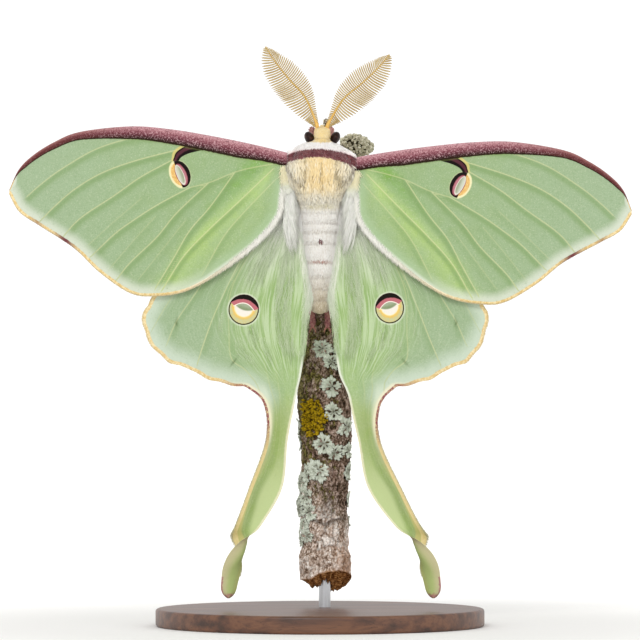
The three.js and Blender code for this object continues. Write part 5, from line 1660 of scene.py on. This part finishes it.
# each rosette has long lobes from its middle, and each of these two shorter ones at its sides
draw = np.random.default_rng(71)
spots = np.repeat(np.array(ROSETTES), LOBES, axis=0)
count = len(spots)
turn = np.tile(np.arange(LOBES) * 2 * np.pi / LOBES, len(ROSETTES)) + draw.normal(0, 0.24, count)
turn = turn + np.repeat(draw.uniform(0, 6, len(ROSETTES)), LOBES)
reach = spots[:, 2] * draw.uniform(0.85, 1.35, count)
middle = np.stack([np.radians(spots[:, 0]) * TWIG["radius"], spots[:, 1]], -1)
way = np.stack([np.cos(turn), np.sin(turn)], -1)
parts = [(middle + way * (reach * begin)[:, None], reach * length, reach * width, turn + swing)
         for swing, begin, length, width in LOBE_KINDS]
place, length, width, turn = (np.concatenate(values) for values in zip(*parts))
count = len(length)
points, faces, corners, rim = leaves(
    place, length, width, turn, draw.uniform(0.02, 0.16, count), 0.32, draw.uniform(0.04, 0.2, count))
marks = {"rim": rim, "tint": np.repeat(draw.random(count), LOBE_POINTS)}
rosettes = build("lichen_rosettes", points, faces, lichen_material, marks, corners=corners)
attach(rosettes, "root")

paint = Paint("lichen_gold", Roughness=0.85, Specular_IOR_Level=0.15)
where = paint.place()
fine = paint.noise(where, 3.0, 3, 0.6)
# painted shade: each lobe dark at its base, in the gaps between the crowded lobes, and golden towards its rim
colour = paint.mix(paint.number("rim"), "3E2E06", "E2BE1E")
colour = colour.mix(fine.rise(0.55, 0.8) * 0.4, "A8961E")
gold_material = paint.finish(colour, fine, 0.06)
count = GOLD["lobes"]
spiral = np.sqrt((np.arange(count) + 0.5) / count) * draw.uniform(0.85, 1.1, count)
angle = np.arange(count) * 2 * np.pi * GOLDEN
place = np.stack([np.radians(GOLD["degrees"]) * TWIG["radius"] + GOLD["wide"] * spiral * np.cos(angle),
                  GOLD["height"] + GOLD["high"] * spiral * np.sin(angle)], -1)
length = draw.uniform(0.45, 0.8, count)
points, faces, corners, rim = leaves(
    place, length, length * 0.45, draw.uniform(0, 2 * np.pi, count), draw.uniform(0.3, 0.9, count), 0.3,
    draw.uniform(0.0, 0.35, count))
gold = build("lichen_gold_patch", points, faces, gold_material,
             {"rim": rim**1.1 * np.repeat(draw.uniform(0.6, 1, count), LOBE_POINTS)}, corners=corners)
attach(gold, "root")


def pad_point(way, scale):
    """A point of the cushion's oval in a direction, at a scale of its full size."""
    return leant(way * LICHEN_PAD["radii"] * scale, LICHEN_PAD["lean"]) + LICHEN_PAD["at"]


# the coral-like cushion: knobs of many sizes all over an oval, and up the twig's broken side shoot
paint = Paint("lichen_coral", Roughness=0.9, Specular_IOR_Level=0.15)
fine = paint.noise(paint.place(), 4.0, 3, 0.65)
colour = paint.mix(paint.number("tint"), "A6A186", "EDE9D2")
colour = colour.mix(fine.rise(0.5, 0.35) * 0.5, "5E5A42")
# the core under the knobs is painted dark: the shade in the holes between them
colour = colour.mix(paint.number("core"), "48422F")
knob_material = paint.finish(colour, fine, 0.1)

# a dark core, painted as the shade that shows between the knobs
core_rings = ball(40, 60)
lumps = 0.74 + 0.05 * np.sin(core_rings @ (9, 4, 7)) + 0.05 * np.sin(core_rings @ (-5, 11, 8))
points, faces, corners = closed_tube(pad_point(core_rings, lumps[..., None]))
cushion = build("lichen_cushion", points, faces, knob_material,
                {"core": np.ones(len(points)), "tint": np.zeros(len(points))}, corners=corners)
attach(cushion, "root")
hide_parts("perch_lichen")

index = np.arange(LICHEN_PAD["knobs"]) + 0.5
down, turn = np.arccos(1 - 2 * index / len(index)), 2 * np.pi * GOLDEN * index
way = np.stack([np.sin(down) * np.cos(turn), np.sin(down) * np.sin(turn), np.cos(down)], -1)
way = way + draw.normal(0, 0.08, way.shape)
size = draw.uniform(0.16, 0.36, len(way))
at = pad_point(way / np.linalg.norm(way, axis=1, keepdims=True), draw.uniform(0.8, 0.95, (len(way), 1)))
shoot = curve(SPROUT, 0.35 + 0.63 * np.linspace(0, 1, 90))
swing = 2 * np.pi * GOLDEN * np.arange(90)
shoot = shoot + 0.36 * np.stack([np.cos(swing), np.sin(swing), 0 * swing], -1)
at, size = np.concatenate([at, shoot]), np.concatenate([size, draw.uniform(0.12, 0.22, 90)])
knob = ball(5, 8)
stretched = draw.uniform(0.7, 1.4, (len(at), 1, 1, 3))
points, faces, corners = closed_tubes(at[:, None, None] + knob * stretched * size[:, None, None, None])
tint = np.repeat(draw.random(len(at)), len(points) // len(at))
knobs = build("lichen_cushion_knobs", points, faces, knob_material, {"tint": tint, "core": 0 * tint},
              corners=corners)
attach(knobs, "root")

# ---------------------------------------------------------------- stand
# A plain display stand: a round, oiled walnut foot with a softly bevelled edge, and one brushed
# steel rod glued into the foot and into the broken end of the twig.

BASE = {"radius": 28.0, "height": 3.0, "bevel": 0.5}
ROD = {"radius": 1.0, "low": 1.3, "high": 11.35}


def lathe(profile, sides, centre):
    """Rings of points round a vertical axis: each (radius, height) of the profile turned about it."""
    turn = np.linspace(0, 2 * np.pi, sides, endpoint=False)
    radius, height = np.asarray(profile, float).T
    circle = np.stack([np.cos(turn), np.sin(turn)], -1)
    flat = radius[:, None, None] * circle + centre
    return np.concatenate([flat, np.broadcast_to(height[:, None, None], (*flat.shape[:2], 1))], -1)


quarter = np.linspace(0, np.pi / 2, 8)
inside = BASE["radius"] - BASE["bevel"]
edge = [(inside + BASE["bevel"] * np.sin(a), BASE["bevel"] * (1 - np.cos(a))) for a in quarter]
lower = [(r, 0) for r in np.linspace(0.4, inside, 12)[:-1]] + edge
profile = lower + [(r, BASE["height"] - z) for r, z in lower[::-1]]
paint = Paint("walnut", Roughness=0.42, Coat_Weight=0.15, Coat_Roughness=0.3)
where = paint.place()
rings_of_years = paint.noise(where.stretch((0.02, 0.35, 0.35)), 1.6, 3, 0.6)
pores = paint.noise(where.stretch((0.12, 2.2, 2.2)), 1.4, 3, 0.7)
colour = rings_of_years.ramp((0.3, "3B2418"), (0.48, "5A3826"), (0.6, "6F4830"), (0.75, "4A2E20"))
colour = colour.mix(pores.rise(0.58, 0.7) * 0.6, "22140D")
base_material = paint.finish(colour, pores, 0.03, pores * 0.12 + 0.38)
points, faces, corners = closed_tube(lathe(profile, 128, (0.0, 0.0)))
base = build("stand_base_walnut", points, faces, base_material, corners=corners)
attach(base, "root")
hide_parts("stand_base")

paint = Paint("brushed_steel", Metallic=1.0)
where = paint.place()
brush = paint.noise(where.stretch((6, 6, 0.6)), 2.0, 2)
colour = paint.mix(brush, "B9BCC0", "D4D6D8")
rod_material = paint.finish(colour, brush, 0.01, brush * 0.2 + 0.25)
heights = np.linspace(ROD["low"], ROD["high"], 12)
points, faces, corners = closed_tube(lathe([(ROD["radius"], z) for z in heights], 40, (TWIG["x"], TWIG["y"])))
rod = build("stand_rod_steel", points, faces, rod_material, corners=corners)
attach(rod, "root")
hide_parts("stand_rod")
